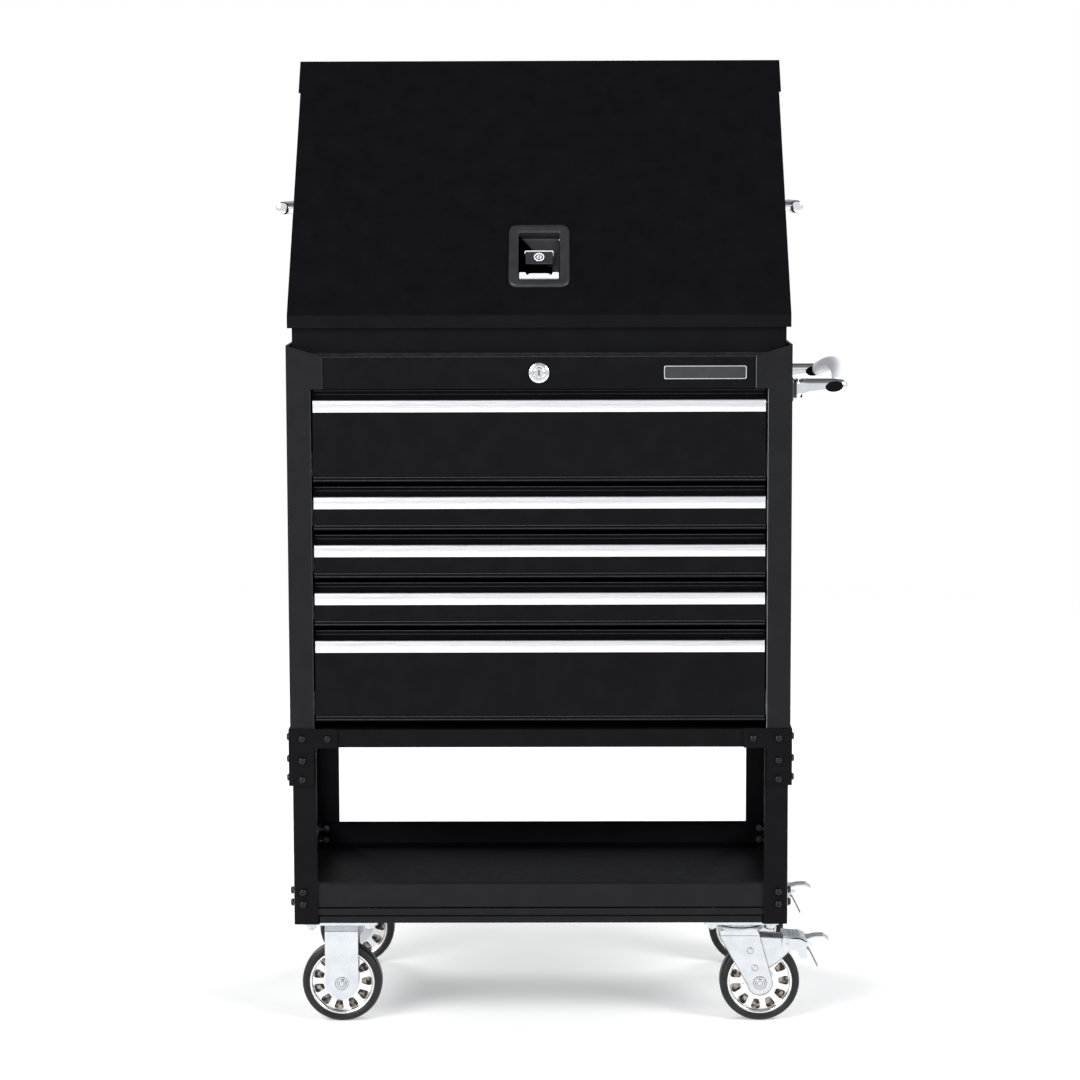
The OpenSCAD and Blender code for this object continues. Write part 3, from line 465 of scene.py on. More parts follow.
def drawer(number):
    """A drawer's folded front with a double hem, its pan, its runners and its pull."""
    name = f"drawer_{number}"
    pull = Box(name + "_pull")
    tray = Box(name + "_tray")
    slides = Box(name + "_slides")
    wide = (pull.x[0] - 0.5, pull.x[1] + 0.5)
    low, high = tray.z
    step = pull.z[0]
    skin = front + 1.6
    recess = front + 16.6
    tab_reach = 20
    pan_back = tray.y[1] - tab_reach
    half_tray = half_w - 51

    body = Shape()
    # The sheet of the recess above the pull, and the cheeks beside it, take the darker coat: painted shade
    # in the recess behind the pull.
    section = [(recess - 5, high - 0.6), (recess, high - 0.6), (recess, step + 0.6)]
    body.prism(strip(section, SHEET, 1.3), *wide, ALONG_X, finish=1)
    section = [(recess + 0.6, step - 0.6), (skin, step - 0.6), (skin, low + 0.6), (recess - 2, low + 0.6)]
    body.prism(strip(section, SHEET, 1.3), *wide, ALONG_X)
    # The hem's two wide beads take the darker coat as painted shade, and the fine beads on them, above the
    # pull and along the top fold take the lighter coat as painted highlight lines.
    body.beads([(skin - 0.6, low + 1.6, 1.5), (skin - 0.6, low + 6.4, 1.5)], wide, 1)
    body.beads([(skin - 1.35, low + 2.6, 0.62), (skin - 1.35, low + 7.1, 0.62),
                (recess - 0.6, pull.z[1] + 7.5, 0.6), (recess - 5, high - 0.6, 0.7)], wide, 2)
    for y, z, finish in (
        ((skin, recess - 1), (low + 1, step - 1), 0),
        ((recess - 8, recess), (step + 8, high - 1), 1),
    ):
        for x in (wide[0], wide[1] - SHEET):
            body.block((x, x + SHEET), y, z, finish)
    # Dark strips in the gaps beside the front, in the darker coat: painted shade that keeps the gaps to the
    # posts dark.
    gap = 2.3
    for x in ((wide[0] - gap, wide[0] + SHEET), (wide[1] - SHEET, wide[1] + gap)):
        body.block(x, (recess - 1, recess + 0.6), (low + 1, high - 1), 1)
    floor = low + 2.6
    rim = high - 10.6
    left = mid_x - half_tray
    right = mid_x + half_tray
    sides = [(left + 3.5, rim), (left + 0.6, rim), (left + 0.6, floor),
             (right - 0.6, floor), (right - 0.6, rim), (right - 3.5, rim)]
    body.prism(strip(sides, SHEET, 1.4), -pan_back, -recess - 0.6, ALONG_Y)
    body.block((left + SHEET, right - SHEET), (pan_back - SHEET, pan_back), (floor + 0.6, rim))
    tab_z = rim - 4
    tab_end = tray.y[1] - SHEET / 2
    tab = strip([(pan_back - 1, tab_z), (tab_end, tab_z), (tab_end, tab_z - 10)], SHEET, 1.4)
    body.prism(tab, mid_x - 10, mid_x + 25, ALONG_X)
    body.piece(name + "_body", name, [ENAMEL, PAINTED_SHADE_COAT, HIGHLIGHT_COAT], name + "_tray", bevel=0.15)

    runners = Shape()
    for side in (-1, 1):
        wall = mid_x + side * (half_tray + 0.6)
        section = channel(wall + side * 8.7, wall, slides.mid.z, 12.6)
        runners.prism(section, -(pan_back - 6), -(front + 20), ALONG_Y)
    runners.piece(name + "_runners", name, [ZINC], bevel=0.25)
    middle_slides(name, slides)
    drawer_pull(name, pull)


def channel(edge, web, level, half_h):
    """The section of a slide member: a web with a flange at its top and bottom."""
    line = [(edge, level - half_h), (web, level - half_h), (web, level + half_h), (edge, level + half_h)]
    return strip(line, SHEET, 2.2)


def middle_slides(name, box):
    """The left and right middle members of a drawer's slides, with rows of bearing balls."""
    shape = Shape()
    level = box.mid.z
    half_h = 15.0
    for side, wall in ((-1, box.x[0]), (1, box.x[1])):
        outer = wall - side * SHEET / 2
        shape.prism(channel(wall - side * 7.4, outer, level, half_h), -box.y[1], -box.y[0], ALONG_Y)
        for k in range(9):
            y = box.y[0] + 16 + 11 * k
            for z in (level - half_h + 2.4, level + half_h - 2.4):
                ball = [(0, -1.7), (1.2, -1.2), (1.7, 0), (1.2, 1.2), (0, 1.7)]
                shape.lathe(ball, at(outer - side * 2.6, y, z), finish=1, steps=12)
    shape.piece(name + "_middle_slides", name + "_slide", [ZINC, CHROME], name + "_slides",
                bevel=0.25)


def drawer_pull(name, box):
    """An extruded pull: a curved lip with rolled edges on a web, and a flange behind."""
    height = box.z[1] - box.z[0]
    depth = box.y[1] - box.y[0]
    lip_r = 34.0
    thick = 1.9
    half_arc = degrees(asin(height / 2 / lip_r))
    centre = (lip_r, height / 2)
    outer = arc(centre, lip_r, 180 + half_arc, 180 - half_arc, 18)
    top = outer[-1]
    roll = arc((top[0] + 1.1, top[1] - 1.2), 1.1, 110, -40, 5)
    inner = arc(centre, lip_r - thick, 180 - half_arc + 3, 180 + half_arc - 4, 14)
    web = [(4.6, 1.7), (depth - 1.5, 1.7), (depth - 1.5, 7), (depth, 7), (depth, 0.0)]
    section = outer[:-1] + roll + inner[1:] + web
    shape = Shape()
    shape.prism(section, *box.x, at(0, box.y[0], box.z[0]) @ ALONG_X)
    shape.piece(name + "_grip", name, [ALLOY], name + "_pull", bevel=0.3, angle=40)


# ---- Frame, shelf and rails ----


def corners():
    """Reflections that carry the right rear corner to all four."""
    for x in (Matrix(), at(2 * mid_x) @ MIRROR_X):
        for y in (Matrix(), MIRROR_Y):
            yield x @ y


def seams():
    """Painted highlights along the edges of the front rail, of its gussets and of the posts beside the
    drawers, brighter on the right-hand side, and a painted shade line beside each gusset.
    """
    low, high = Box("top_rail").z
    sill = Box("bottom_rail").z[1]
    shape = Shape()
    gusset = half_w - 55
    opening = half_w - 36
    for side in (-1, 1):
        # Painted highlight: the lighter coat on the left, and brighter zinc on the right, where the edges
        # face the key light.
        lit = 0 if side < 0 else 2
        x = mid_x + side * (gusset + 0.5)
        shape.block((x - 0.35, x + 0.35), (front - 0.55, front - 0.05), (low + 0.5, high - 0.2), lit)
        x = mid_x + side * (gusset - 0.3)
        shape.block((x - 0.5, x + 0.5), (front + 0.95, front + 1.35), (low + 0.5, high - 0.6), 1)
        bead = circle(0.8, 12, (mid_x + side * opening, front + 0.75))
        shape.prism(bead, sill, low - 1, finish=lit)
    bead = circle(0.65, 12, (front + 1.6, high - 0.7))
    shape.prism(bead, mid_x - gusset, mid_x + gusset, ALONG_X)
    shape.piece("front_seams", "chest", [HIGHLIGHT_COAT, PAINTED_SHADE_COAT, DARK_ZINC], bevel=0)


def frame_legs():
    legs = Box("frame_legs")
    shape = Shape()
    width = 36.75
    x = legs.x[1] - ANGLE / 2
    y = legs.y[1] - ANGLE / 2
    section = strip([(x - width, y), (x, y), (x, y - width)], ANGLE, 2.6)
    for place in corners():
        shape.prism(section, *legs.z, place)
    shape.piece("angle_legs", "chest", [ENAMEL], "frame_legs", bevel=0.6)


def shelf_pan():
    """The shelf's pan with rolled lips, and the apron under its front and back."""
    shape = Shape()
    floor = 189.4
    lip = shelf.z[1] - 0.6
    y = shelf.y[1] - 0.6
    for flip in (Matrix(), MIRROR_Y):
        wall = strip([(y - 8, lip), (y, lip), (y, floor), (y - 4, floor)], SHEET, 2.0)
        shape.prism(wall, shelf.x[0], shelf.x[1], flip @ ALONG_X, finish=0 if flip is MIRROR_Y else 1)
    # The pan's floor takes the darker coat: painted shade on the floor under the cabinet.
    shape.block(shelf.x, (4 - y, y - 4), (floor - 0.6, floor + 0.6), finish=2)
    for side in (0, 1):
        edge = shelf.x[side] + (0.6 if side == 0 else -0.6)
        inward = 1 if side == 0 else -1
        wall = strip([(edge + 6 * inward, lip - 0.5), (edge, lip - 0.5), (edge, floor + 0.2)], SHEET, 1.6)
        shape.prism(wall, -shelf.y[1] + 1.6, shelf.y[1] - 1.6, ALONG_Y, finish=1)
    for side in (-1, 1):
        apron = sorted((side * (y - 0.6), side * (y + 0.6)))
        shape.block(shelf.x, apron, (shelf.z[0], floor - 0.8))
    shape.piece("shelf_pan", "chest", [FRAME_ENAMEL, ENAMEL, PAINTED_SHADE_COAT], "shelf_tray", bevel=0.35)


def base_channels():
    rails = Box("base_rails")
    shape = Shape()
    bottom, top = rails.z
    outer = rails.y[1] - ANGLE / 2
    inner = outer + ANGLE - 122
    low = bottom + ANGLE / 2
    section = strip([(inner, top), (inner, low), (outer, low), (outer, top)], ANGLE, 2.6)
    start = rails.x[0] + 38
    end = rails.x[1] - 38
    for flip in (Matrix(), MIRROR_Y):
        shape.prism(section, start, end, flip @ ALONG_X)
        for x in ((rails.x[0], start), (end, rails.x[1])):
            tongue = [(x[0], inner), (x[1], inner), (x[1], outer - 1), (x[0], outer - 1)]
            shape.prism(tongue, bottom, bottom + ANGLE, flip)
    shape.piece("base_channels", "chest", [FRAME_ENAMEL], "base_rails", bevel=0.5)


def corner_brackets():
    """Angled plates, folded round each lower corner of the cabinet."""
    box = Box("corner_brackets")
    legs = Box("frame_legs")
    shape = Shape()
    arm = 72.0
    stem = 36.0
    bottom, top = box.z
    step = legs.z[1] - 1
    wall = box.x[1] - ANGLE
    face = box.y[1] - ANGLE

    def plate(fold, edge):
        """One face: a stem down the leg and an arm along the cabinet's foot."""
        return rounded([(fold - stem, bottom), (edge, bottom), (edge, top), (fold - arm, top),
                        (fold - arm, step), (fold - stem, step)], [3, 0, 0, 3, 3, 4])

    liner = [(wall - stem, face), (wall - stem, face - SHEET), (wall - SHEET, face - SHEET),
             (wall - SHEET, face - stem), (wall, face - stem), (wall, face)]
    for place in corners():
        shape.prism(plate(wall, box.x[1]), -box.y[1], -face, place @ ALONG_Y)
        shape.prism(plate(face, face), wall, box.x[1], place @ ALONG_X)
        shape.prism(liner, bottom, legs.z[1], place)
    shape.piece("folded_brackets", "chest", [ENAMEL], "corner_brackets", bevel=0.7, segments=3)


def hex_ring(across, height, steps, share=1.0):
    """A loop of points on a hexagon, or part of the way from a circle to one."""
    points = []
    for k in range(steps):
        a = 2 * pi * k / steps
        bend = (a + pi / 6) % (pi / 3) - pi / 6
        radius = across / 2 * (share / cos(bend) + (1 - share) * 1.08)
        points.append((radius * cos(a), radius * sin(a), height))
    return points


def button_head(shape, place, radius=5.8, height=4.5):
    """A domed head with a hexagon socket, standing on local z = 0."""
    steps = 24
    rings = [[(x, y, z) for x, y in circle(radius, steps)] for z in (0.0, 0.5)]
    for k in range(1, 6):
        t = radians(15 * k)
        z = 0.5 + (height - 0.5) * sin(t) ** 0.9
        rings.append([(x, y, z) for x, y in circle(radius * (0.56 + 0.44 * cos(t)), steps)])
    rings.append(hex_ring(5.0, height - 0.05, steps, 0.6))
    rings.append(hex_ring(4.2, height - 0.5, steps))
    rings.append(hex_ring(4.0, height - 2.8, steps))
    shape.loft(rings, place)


def hex_nut(shape, place, across=13.0, height=6.5, hole=4.0, finish=0):
    """A hexagon nut with chamfered ends, its washer, and a threaded end standing in it."""
    rings = []
    for z, share, scale in ((0, 0.15, 0.95), (0.9, 1, 1), (height - 0.9, 1, 1), (height, 0.15, 0.95)):
        rings.append([(x * scale, y * scale, z) for x, y, z in hex_ring(across, z, 48, share)])
    shape.loft(rings, place, finish)
    thread = [(0, -1.0), (hole, -1.0)]
    for k in range(3):
        thread += [(hole, height + 0.2 + 0.7 * k), (hole - 0.3, height + 0.5 + 0.7 * k)]
    thread += [(hole - 0.8, height + 2.4), (0, height + 2.4)]
    shape.lathe(thread, place, finish, steps=24)
    washer = across / 2 + 1.6
    shape.lathe([(washer, -1.2), (washer, 0), (hole, 0), (hole, -1.2)], place, finish, closed=True)


def frame_bolts():
    """Black button heads on brackets and legs, and plated bolts through the caster plates."""
    brackets = Box("corner_brackets")
    legs = Box("frame_legs")
    plates = Box("swivel_plates")
    heads = Shape()
    base = legs.z[1]
    wall = brackets.x[1] - ANGLE
    face = brackets.y[1] - ANGLE
    foot_x = wall - 17
    foot_y = legs.y[1] + 1.2 - 17
    facing_back = turned(-90, "X")
    facing_side = turned(90, "Y")
    for place in corners():
        for x, z in ((18, 14), (18, -20), (18, -49), (57, 14)):
            button_head(heads, place @ at(wall - x, brackets.y[1], base + z) @ facing_back)
            button_head(heads, place @ at(brackets.x[1], face - x, base + z) @ facing_side)
        for z in (196, 215):
            button_head(heads, place @ at(foot_x, legs.y[1], z) @ facing_back)
            button_head(heads, place @ at(legs.x[1], foot_y, z) @ facing_side)
            for inside in (at(foot_x, shelf.y[1] - 1.2, z) @ turned(90, "X"),
                           at(shelf.x[1] - 1.2, foot_y, z) @ turned(-90, "Y")):
                hex_nut(heads, place @ inside, 10, 3.6, 3.0, 1)
    heads.piece("button_bolts", "chest", [BOLT, DARK_ZINC], "frame_bolts", bevel=0)
    nuts = Shape()
    for place in corners():
        for x in (-45, 45):
            for y in (-37, 37):
                spot = place @ at(plates.mid.x + x, plates.y[1] - 50 + y, plates.z[1])
                hex_nut(nuts, spot @ at(z=-5.2) @ turned(180, "X"), 13, 5.6)
                button_head(nuts, spot @ at(z=2.5), 8.0, 4.0)
    nuts.piece("caster_bolts", "chest", [ZINC], bevel=0)


# ---- Casters ----


def wheel(side, end):
    """A cast rim with eleven windows, and a rounded tyre."""
    name = f"{side}_{end}"
    body = f"wheel_{name}"
    tyre = Box("tyre_" + name)
    rim = Box("rim_" + name)
    radius = (tyre.z[1] - tyre.z[0]) / 2
    half = (tyre.y[1] - tyre.y[0]) / 2
    hub = (rim.y[1] - rim.y[0]) / 2
    rim_r = (rim.z[1] - rim.z[0]) / 2
    place = at(*tyre.mid) @ turned(90, "X")

    cast = Shape()
    inner = rim_r - 5
    face = half - 1
    flank = [(inner, 0), (inner, 6.5), (inner + 0.6, face - 2.2), (inner + 1.6, face - 0.6),
             (inner + 2.7, face - 0.1), (inner + 3.0, face - 0.8), (inner + 3.5, face - 0.8),
             (inner + 3.8, face - 0.1), (rim_r - 0.5, face - 0.2), (rim_r, face - 0.9), (rim_r, 0)]
    cast.lathe(mirrored(flank), place, steps=96, closed=True)
    windows = []
    count = 11
    for k in range(count):
        keystone = rounded([(29.6, -3.9), (45.2, -8.5), (45.2, 8.5), (29.6, 3.9)], [2.6, 5.0, 5.0, 2.6])
        turn = Matrix.Rotation(2 * pi * k / count, 2)
        windows.append([tuple(turn @ Vector(p)) for p in keystone])
    for low, high in ((-6.8, -1), (1, 6.8)):
        cast.prism(circle(inner + 0.4, 88), low, high, place, holes=windows + [circle(12, 32)])
    # The web behind the windows: a dark brown cast finish, darkened further as painted shade inside the
    # windows.
    cast.prism(circle(inner + 0.2, 88), -1, 1, place, holes=[circle(12, 32)], finish=1)
    boss = [(6.2, 0), (6.2, hub), (8.0, hub), (8.4, hub - 1.0), (12.2, hub - 1.0), (12.8, hub), (14.6, hub),
            (15.6, hub - 1.2), (16.4, 12), (19, 9), (24, 7.2), (24, 0)]
    cast.lathe(mirrored(boss), place, steps=64, closed=True)
    cast.piece("cast_rim_" + name, body, [RIM, POCKET_SHADE], "rim_" + name, bevel=0.9, segments=3,
               angle=40)

    rubber = Shape()
    wall = [(rim_r, 0), (rim_r, half - 1.4), (rim_r + 1.2, half - 0.4), (rim_r + 3.4, half - 0.05),
            (rim_r + 3.9, half - 0.5), (rim_r + 4.5, half)]
    for k in range(10):
        t = radians(90 * k / 9)
        wall.append((radius - 6.2 + 6.2 * sin(t) ** 0.85, half - 8.5 * (1 - cos(t)) ** 1.1))
    wall.append((radius, 0))
    rubber.lathe(mirrored(wall), place, steps=128, closed=True)
    rubber.piece("rolled_tyre_" + name, body, [TYRE], "tyre_" + name, bevel=0.15, angle=35)


def mounting_plate(shape, place):
    """A caster's plate with four bolt slots."""
    slots = [rectangle(14, 8.6, 4.2, centre=(sx * 45, sy * 37)) for sx in (-1, 1) for sy in (-1, 1)]
    shape.prism(rectangle(115, 100, 7), 0, 4, place, holes=slots)


def hairline(shape, inner, outer, low, high, place, steps=48):
    """A thin, darker ring round a boss: a painted shade line."""
    shape.lathe([(inner, low), (inner, high), (outer, high), (outer, low)], place, 1, steps, True)


def axle(shape, hub):
    """The wheel's axle, with a washer and a nut on each side of the fork."""
    nut = [(0, 24), (9.4, 24), (9.4, 24.6), (9.0, 25.0), (7.4, 25.0), (7.2, 24.3), (6.6, 24.3), (6.4, 26.6),
           (5.8, 27.4), (4.4, 27.6), (4.1, 26.9), (3.5, 26.9), (3.2, 27.3), (0, 27.4)]
    for flip in (Matrix(), MIRROR_Y):
        place = at(*hub) @ flip @ turned(-90, "X")
        shape.lathe([(0, 0), (6, 0), (6, 24.2), (0, 24.2)], place, steps=32)
        shape.lathe(nut, place, steps=40)
        for inner, outer, out in ((6.5, 7.3, 24.5), (3.4, 4.2, 27.1)):
            hairline(shape, inner, outer, out - 0.3, out, place, 32)


def rigid_casters():
    box = Box("rigid_forks")
    under = box.z[1] - 4
    reach = 25.7
    shape = Shape()
    for end in ("front", "rear"):
        hub = Box(f"tyre_left_{end}").mid
        place = at(box.mid.x, hub.y, under)
        mounting_plate(shape, place)
        shape.lathe([(0, 0), (31, 0), (31, -1.0), (28.5, -2.6), (0, -2.6)], place)
        crown = strip([(-22.5, -16), (-22.5, -4), (22.5, -4), (22.5, -16)], 3, 5.5)
        shape.prism(crown, -reach, reach, place @ ALONG_X)
        cheek = [(-reach, -16)] + arc((0, hub.z - under), reach, 180, 360, 28) + [(reach, -16)]
        for side in (-1, 1):
            shape.prism(cheek, *beside(side, 21, 24), place @ ALONG_Y)
            hairline(shape, 9.6, 10.5, 23.8, 24.3, at(*hub) @ outward(side))
        axle(shape, hub)
    shape.piece("rigid_caster_forks", "chest", [ZINC, DARK_ZINC], "rigid_forks", bevel=0.6,
                angle=40)


def swivel_heads():
    """Plates, ball races and kingpins of the swivel casters."""
    box = Box("swivel_plates")
    race = [(0, 0.2), (34.6, 0.2), (35.0, -1.2), (34.2, -3.4), (31.5, -4.6), (31.5, -5.6), (33.8, -6.2),
            (33.4, -7.6), (30, -8.0), (0, -8.0)]
    kingpin = [(0, -7), (7.9, -7), (7.9, -19), (0, -19)]
    shape = Shape()
    for y in (box.y[0] + 50, box.y[1] - 50):
        place = at(box.mid.x, y, box.z[1] - 4)
        mounting_plate(shape, place)
        shape.lathe(race, place, steps=64)
        shape.lathe(kingpin, place, steps=32)
        hex_nut(shape, place @ at(z=-15.1) @ turned(180, "X"), 22, 6.6, 0.1)
    shape.piece("swivel_heads", "chest", [ZINC], "swivel_plates", bevel=0.35, angle=40)


def bordered(shape, outline, side, inner, outer, rim, place):
    """A pressed cheek: a plate with a raised border in darker zinc, a painted shade line round its edge, on
    one side of the wheel.
    """
    count = len(outline)
    points = [Vector(p) for p in outline]
    centre = sum(points, Vector((0, 0))) / count
    inset = []
    for k, point in enumerate(points):
        along = points[(k + 1) % count] - points[k - 1]
        inward = Vector((-along.y, along.x)).normalized()
        if inward.dot(centre - point) < 0:
            inward = -inward
        inset.append(tuple(point + inward * 1.1))
    shape.prism(outline, *beside(side, inner, outer), place @ ALONG_Y)
    shape.prism(outline, *beside(side, outer - 0.2, rim), place @ ALONG_Y, holes=[inset], finish=1)


def swivel_fork(end):
    """A leaning fork with a cupped crown and, inside its cheeks, the brake's wing plates."""
    plates = Box("swivel_plates")
    hub = Box(f"tyre_right_{end}").mid
    pedal = joint_place(f"brake_{end}_press")
    x = plates.mid.x
    crown = plates.z[1] - 12.4
    place = at(x, hub.y, crown)
    shape = Shape()
    cup = [(8.1, 0), (30, 0), (35.6, -0.6), (37, -2.4), (36.6, -6), (34.4, -6.2), (33.6, -3.6), (30, -3.0),
           (14.2, -3.0), (14.2, -4.6), (8.1, -2.4)]
    shape.lathe(cup, place, closed=True, steps=64)
    axle_x = hub.x - x
    axle_z = hub.z - crown
    pedal_x = pedal.x - x
    pedal_z = pedal.z - crown
    leg = [(-32, -6), (26, -6), (29, -12)] + arc((axle_x, axle_z), 20, 8, -172, 20) + [(-32, -18)]
    shoulder = (30, -18)
    elbow = (pedal_x + 2, pedal_z + 9)
    wing = rounded([(22, -10), shoulder, elbow, (pedal_x + 9, pedal_z + 4), (pedal_x + 7, pedal_z - 9),
                    (axle_x + 26, axle_z + 30), (axle_x + 13, axle_z + 22), (axle_x, axle_z + 24)],
                   [2, 4, 5, 4, 6, 8, 6, 4], steps=6)
    flange = strip([shoulder, elbow], 1.6, 1)
    dome = [(0, 23.6), (4.2, 23.6), (4.2, 24.3), (3.2, 24.8), (0, 25.0)]
    for side in (-1, 1):
        fold = strip([(side * 22.5, -16), (side * 22.5, -4.6), (side * 14.5, -4.6)], 3, 4.0)
        shape.prism(fold, -31, 27, place @ ALONG_X)
        bordered(shape, leg, side, 21.4, 23.4, 24.1, place)
        bordered(shape, wing, side, 17.6, 19.2, 19.8, place)
        shape.prism(flange, *beside(side, 15.0, 21.2), place @ at(z=-1) @ ALONG_Y)
        for out, height in ((15, 113), (22, 86)):
            spot = at(x + out, hub.y, height) @ outward(side)
            shape.lathe(dome, spot, steps=24)
            hairline(shape, 4.2, 5.2, 23.4, 23.9, spot, 24)
        hairline(shape, 9.6, 10.6, 23.4, 23.9, at(*hub) @ outward(side))
    pin = [(0, -28.4), (3.4, -28.4), (3.4, 28.4), (0, 28.4)]
    shape.lathe(pin, at(pedal.x, hub.y, pedal.z) @ turned(90, "X"), steps=24)
    axle(shape, hub)
    shape.piece(f"leaning_fork_{end}", f"swivel_{end}", [ZINC, DARK_ZINC], f"swivel_fork_{end}",
                bevel=0.5, angle=40)


def brake_pedal(end):
    """A folded brake pedal: wide tread with a curled tip, hooked cheeks, shoe and lever."""
    box = Box(f"brake_pedal_{end}")
    pivot = joint_place(f"brake_{end}_press")
    shape = Shape()
    place = at(pivot.x, box.mid.y, 0) @ ALONG_Y
    tip = box.x[1] - pivot.x
    heel = -7.0
    step = 27.0
    tread = [(heel + 0.2, 135.3), (step - 5, 134.4), (step + 0.6, 127.7), (step + 2, 127.5)]
    shape.prism(strip(tread, 2.2, 3.0), -27.4, 27.4, place)
    tongue = [(step, 128.2), (step + 16, 123.9), (step + 31, 124.4), (tip - 0.4, 127.2)]
    shape.prism(strip(tongue, 2.2, 9.0), -13, 13, place)
    for rib in (4, 10, 16):
        shape.prism(strip([(rib, 136.2), (rib + 2.2, 136.2)], 0.6, 1), -22, 22, place)
    cheek = rounded([
        (heel, 135), (heel - 1, 124), (heel + 1, 115), (2, 112.5), (12, 115), (step - 10.5, 111),
        (step - 6, 100.5), (step + 0.5, 100.5), (step + 4, 104), (step + 2, 121), (step + 12, 123.5),
        (step + 12, 126), (step, 130), (step - 4, 134),
    ], [1, 6, 5, 5, 3, 4, 3, 2.5, 2.5, 3, 1, 1, 2, 2])
    for side in (-1, 1):
        shape.prism(cheek, *beside(side, 25.0, 27.4), place, holes=[circle(3.55, 24, (0, pivot.z))])
    lever = strip([(step - 1, 119), (step + 4.5, 106.5), (step + 21, 84.6)], 2.2, 6.0)
    shape.prism(lever, -9, 9, place, finish=1)
    shoe = rounded([(step - 7, 116), (step + 1, 116), (step + 1, 121), (step - 7, 121)], 1.5)
    shape.prism(shoe, -25, 25, place)
    shape.piece(f"folded_pedal_{end}", f"brake_{end}", [ZINC, DARK_ZINC], f"brake_pedal_{end}",
                bevel=0.4, angle=40)


# ---- Handles ----


def push_handle():
    """A bowed chrome grip between two cast brackets with wall flanges."""
    bar = Box("push_handle_bar")
    brackets = Box("push_handle_brackets")
    wall = brackets.x[0]
    low, high = brackets.z
    radius = 12.0
    reach = 195.0
    sag = 22.0
    tilt = radians(60)
    chord = Vector((bar.x[1] - radius - sag * cos(tilt), 0, bar.z[1] - radius - sag * sin(tilt)))
    bend = (reach * reach + sag * sag) / (2 * sag)
    half = asin(reach / bend)
    path = []
    steps = 40
    for k in range(-steps, steps + 1):
        a = half * k / steps
        out = bend * cos(a) - (bend - sag)
        path.append(chord + Vector((out * cos(tilt), bend * sin(a), out * sin(tilt))))
    grip = Shape()
    grip.tube(path, radius - 0.05)
    # The grip's finish glows faintly in its own colour: painted light that evens out its shading.
    grip.piece("bowed_grip", "chest", [SATIN_GLOW], "push_handle_bar", bevel=0.8, segments=3)

    # Each ring of an arm: how far out, half its thickness, how far its edges lie inside bottom and
    # top, and its corner radius
    bottom = low + 4.4
    top = high - 4.4
    arm = [(8, 14.6, 1.0, 0.6, 7), (8.6, 15.4, 0.2, 0, 7), (11, 15.4, 0.2, 0, 7), (12, 13.4, 1.6, 1.2, 7),
           (15, 13.2, 1.4, 1.0, 8), (17.5, 14.6, 0.3, 0, 9), (28, 13.4, 1.2, 0, 11), (45, 11.8, 3.2, 0, 11)]
    elbow = [(-8, 11.0, 5.8, 0, 11), (2, 10.6, 8.0, 0.2, 10.5), (8, 9.4, 10.2, 1.2, 9.2),
             (12, 5.6, 14.4, 4.8, 5)]
    rows = [(wall + out, *rest) for out, *rest in arm] + [(chord.x + out, *rest) for out, *rest in elbow]
    inset = [(a * 13.5 + b * 1.8, b * 8.2) for a, b in circle(1, 32)]
    mount = Shape()
    for flip in (Matrix(), MIRROR_Y):
        base = flip @ at(0, reach, 0)
        flange = rectangle(47.6, high - low, 6)
        rings = []
        for out, shrink in ((0, 0), (1.6, 0), (2.6, 0.8), (3.4, 2.4)):
            rings.append([(out, a * (1 - shrink / 24), b * (1 - shrink / 20)) for a, b in flange])
        mount.loft(rings, base @ at(wall, 0, (low + high) / 2), finish=1)
        neck = rectangle(29, 28, 6, 6, (0, top - 14.9))
        mount.loft([[(wall + out, a, b) for a, b in neck] for out in (2, 9.5)], base, finish=1)
        rings = []
        for x, thick, lift, drop, corner in rows:
            edges = (bottom + lift, top - drop)
            corner = min(corner, thick - 0.4)
            outline = rectangle(2 * thick, edges[1] - edges[0], corner, 6, (0, sum(edges) / 2))
            rings.append([(x, a, b) for a, b in outline])
        mount.loft(rings, base)
        # A dark oval on each face of the bracket's elbow, in the darker coat: a painted dark reflection on
        # the chrome.
        for a, b in ((-11.9, -10.4), (10.4, 11.9)):
            mount.prism(inset, a, b, base @ at(chord.x - 8, 0, top - 11.6) @ turned(90, "X"), finish=2)
    mount.piece("handle_brackets", "chest", [CHROME, FITTING, PAINTED_SHADE_COAT], "push_handle_brackets",
                bevel=0.3, angle=40)


def grab_handles():
    box = Box("grab_handles")
    wall = Box("box_shell").x[1]
    shape = Shape()
    bar_x = box.x[1] - 10
    z = box.mid.z
    length = box.y[1] - box.y[0]
    end = [(0, 0), (7.6, 0), (9.2, 0.7), (10, 2.2), (10, 6.4), (9.5, 6.8), (9.5, 7.4), (10, 7.8)]
    bar = end + [(r, length - h) for r, h in end[::-1]]
    post = [(0, 0), (15, 0), (15, 2.4), (14.2, 3.6), (11.5, 4.2), (9.4, 5.4), (8.2, 7.6), (8.0, 12),
            (8.0, 22), (8.6, 25), (8.6, 28), (0, 28)]
    for flip in (Matrix(), at(2 * mid_x) @ MIRROR_X):
        shape.lathe(bar, flip @ at(bar_x, box.y[0], z) @ turned(-90, "X"), steps=40)
        for y in (box.y[0] + 12, box.y[1] - 12):
            shape.lathe(post, flip @ at(wall, y, z) @ turned(90, "Y"), steps=40)
    shape.piece("turned_grab_handles", "chest", [CHROME], "grab_handles", bevel=0, angle=40)


# ---- Locks, latch and badge ----


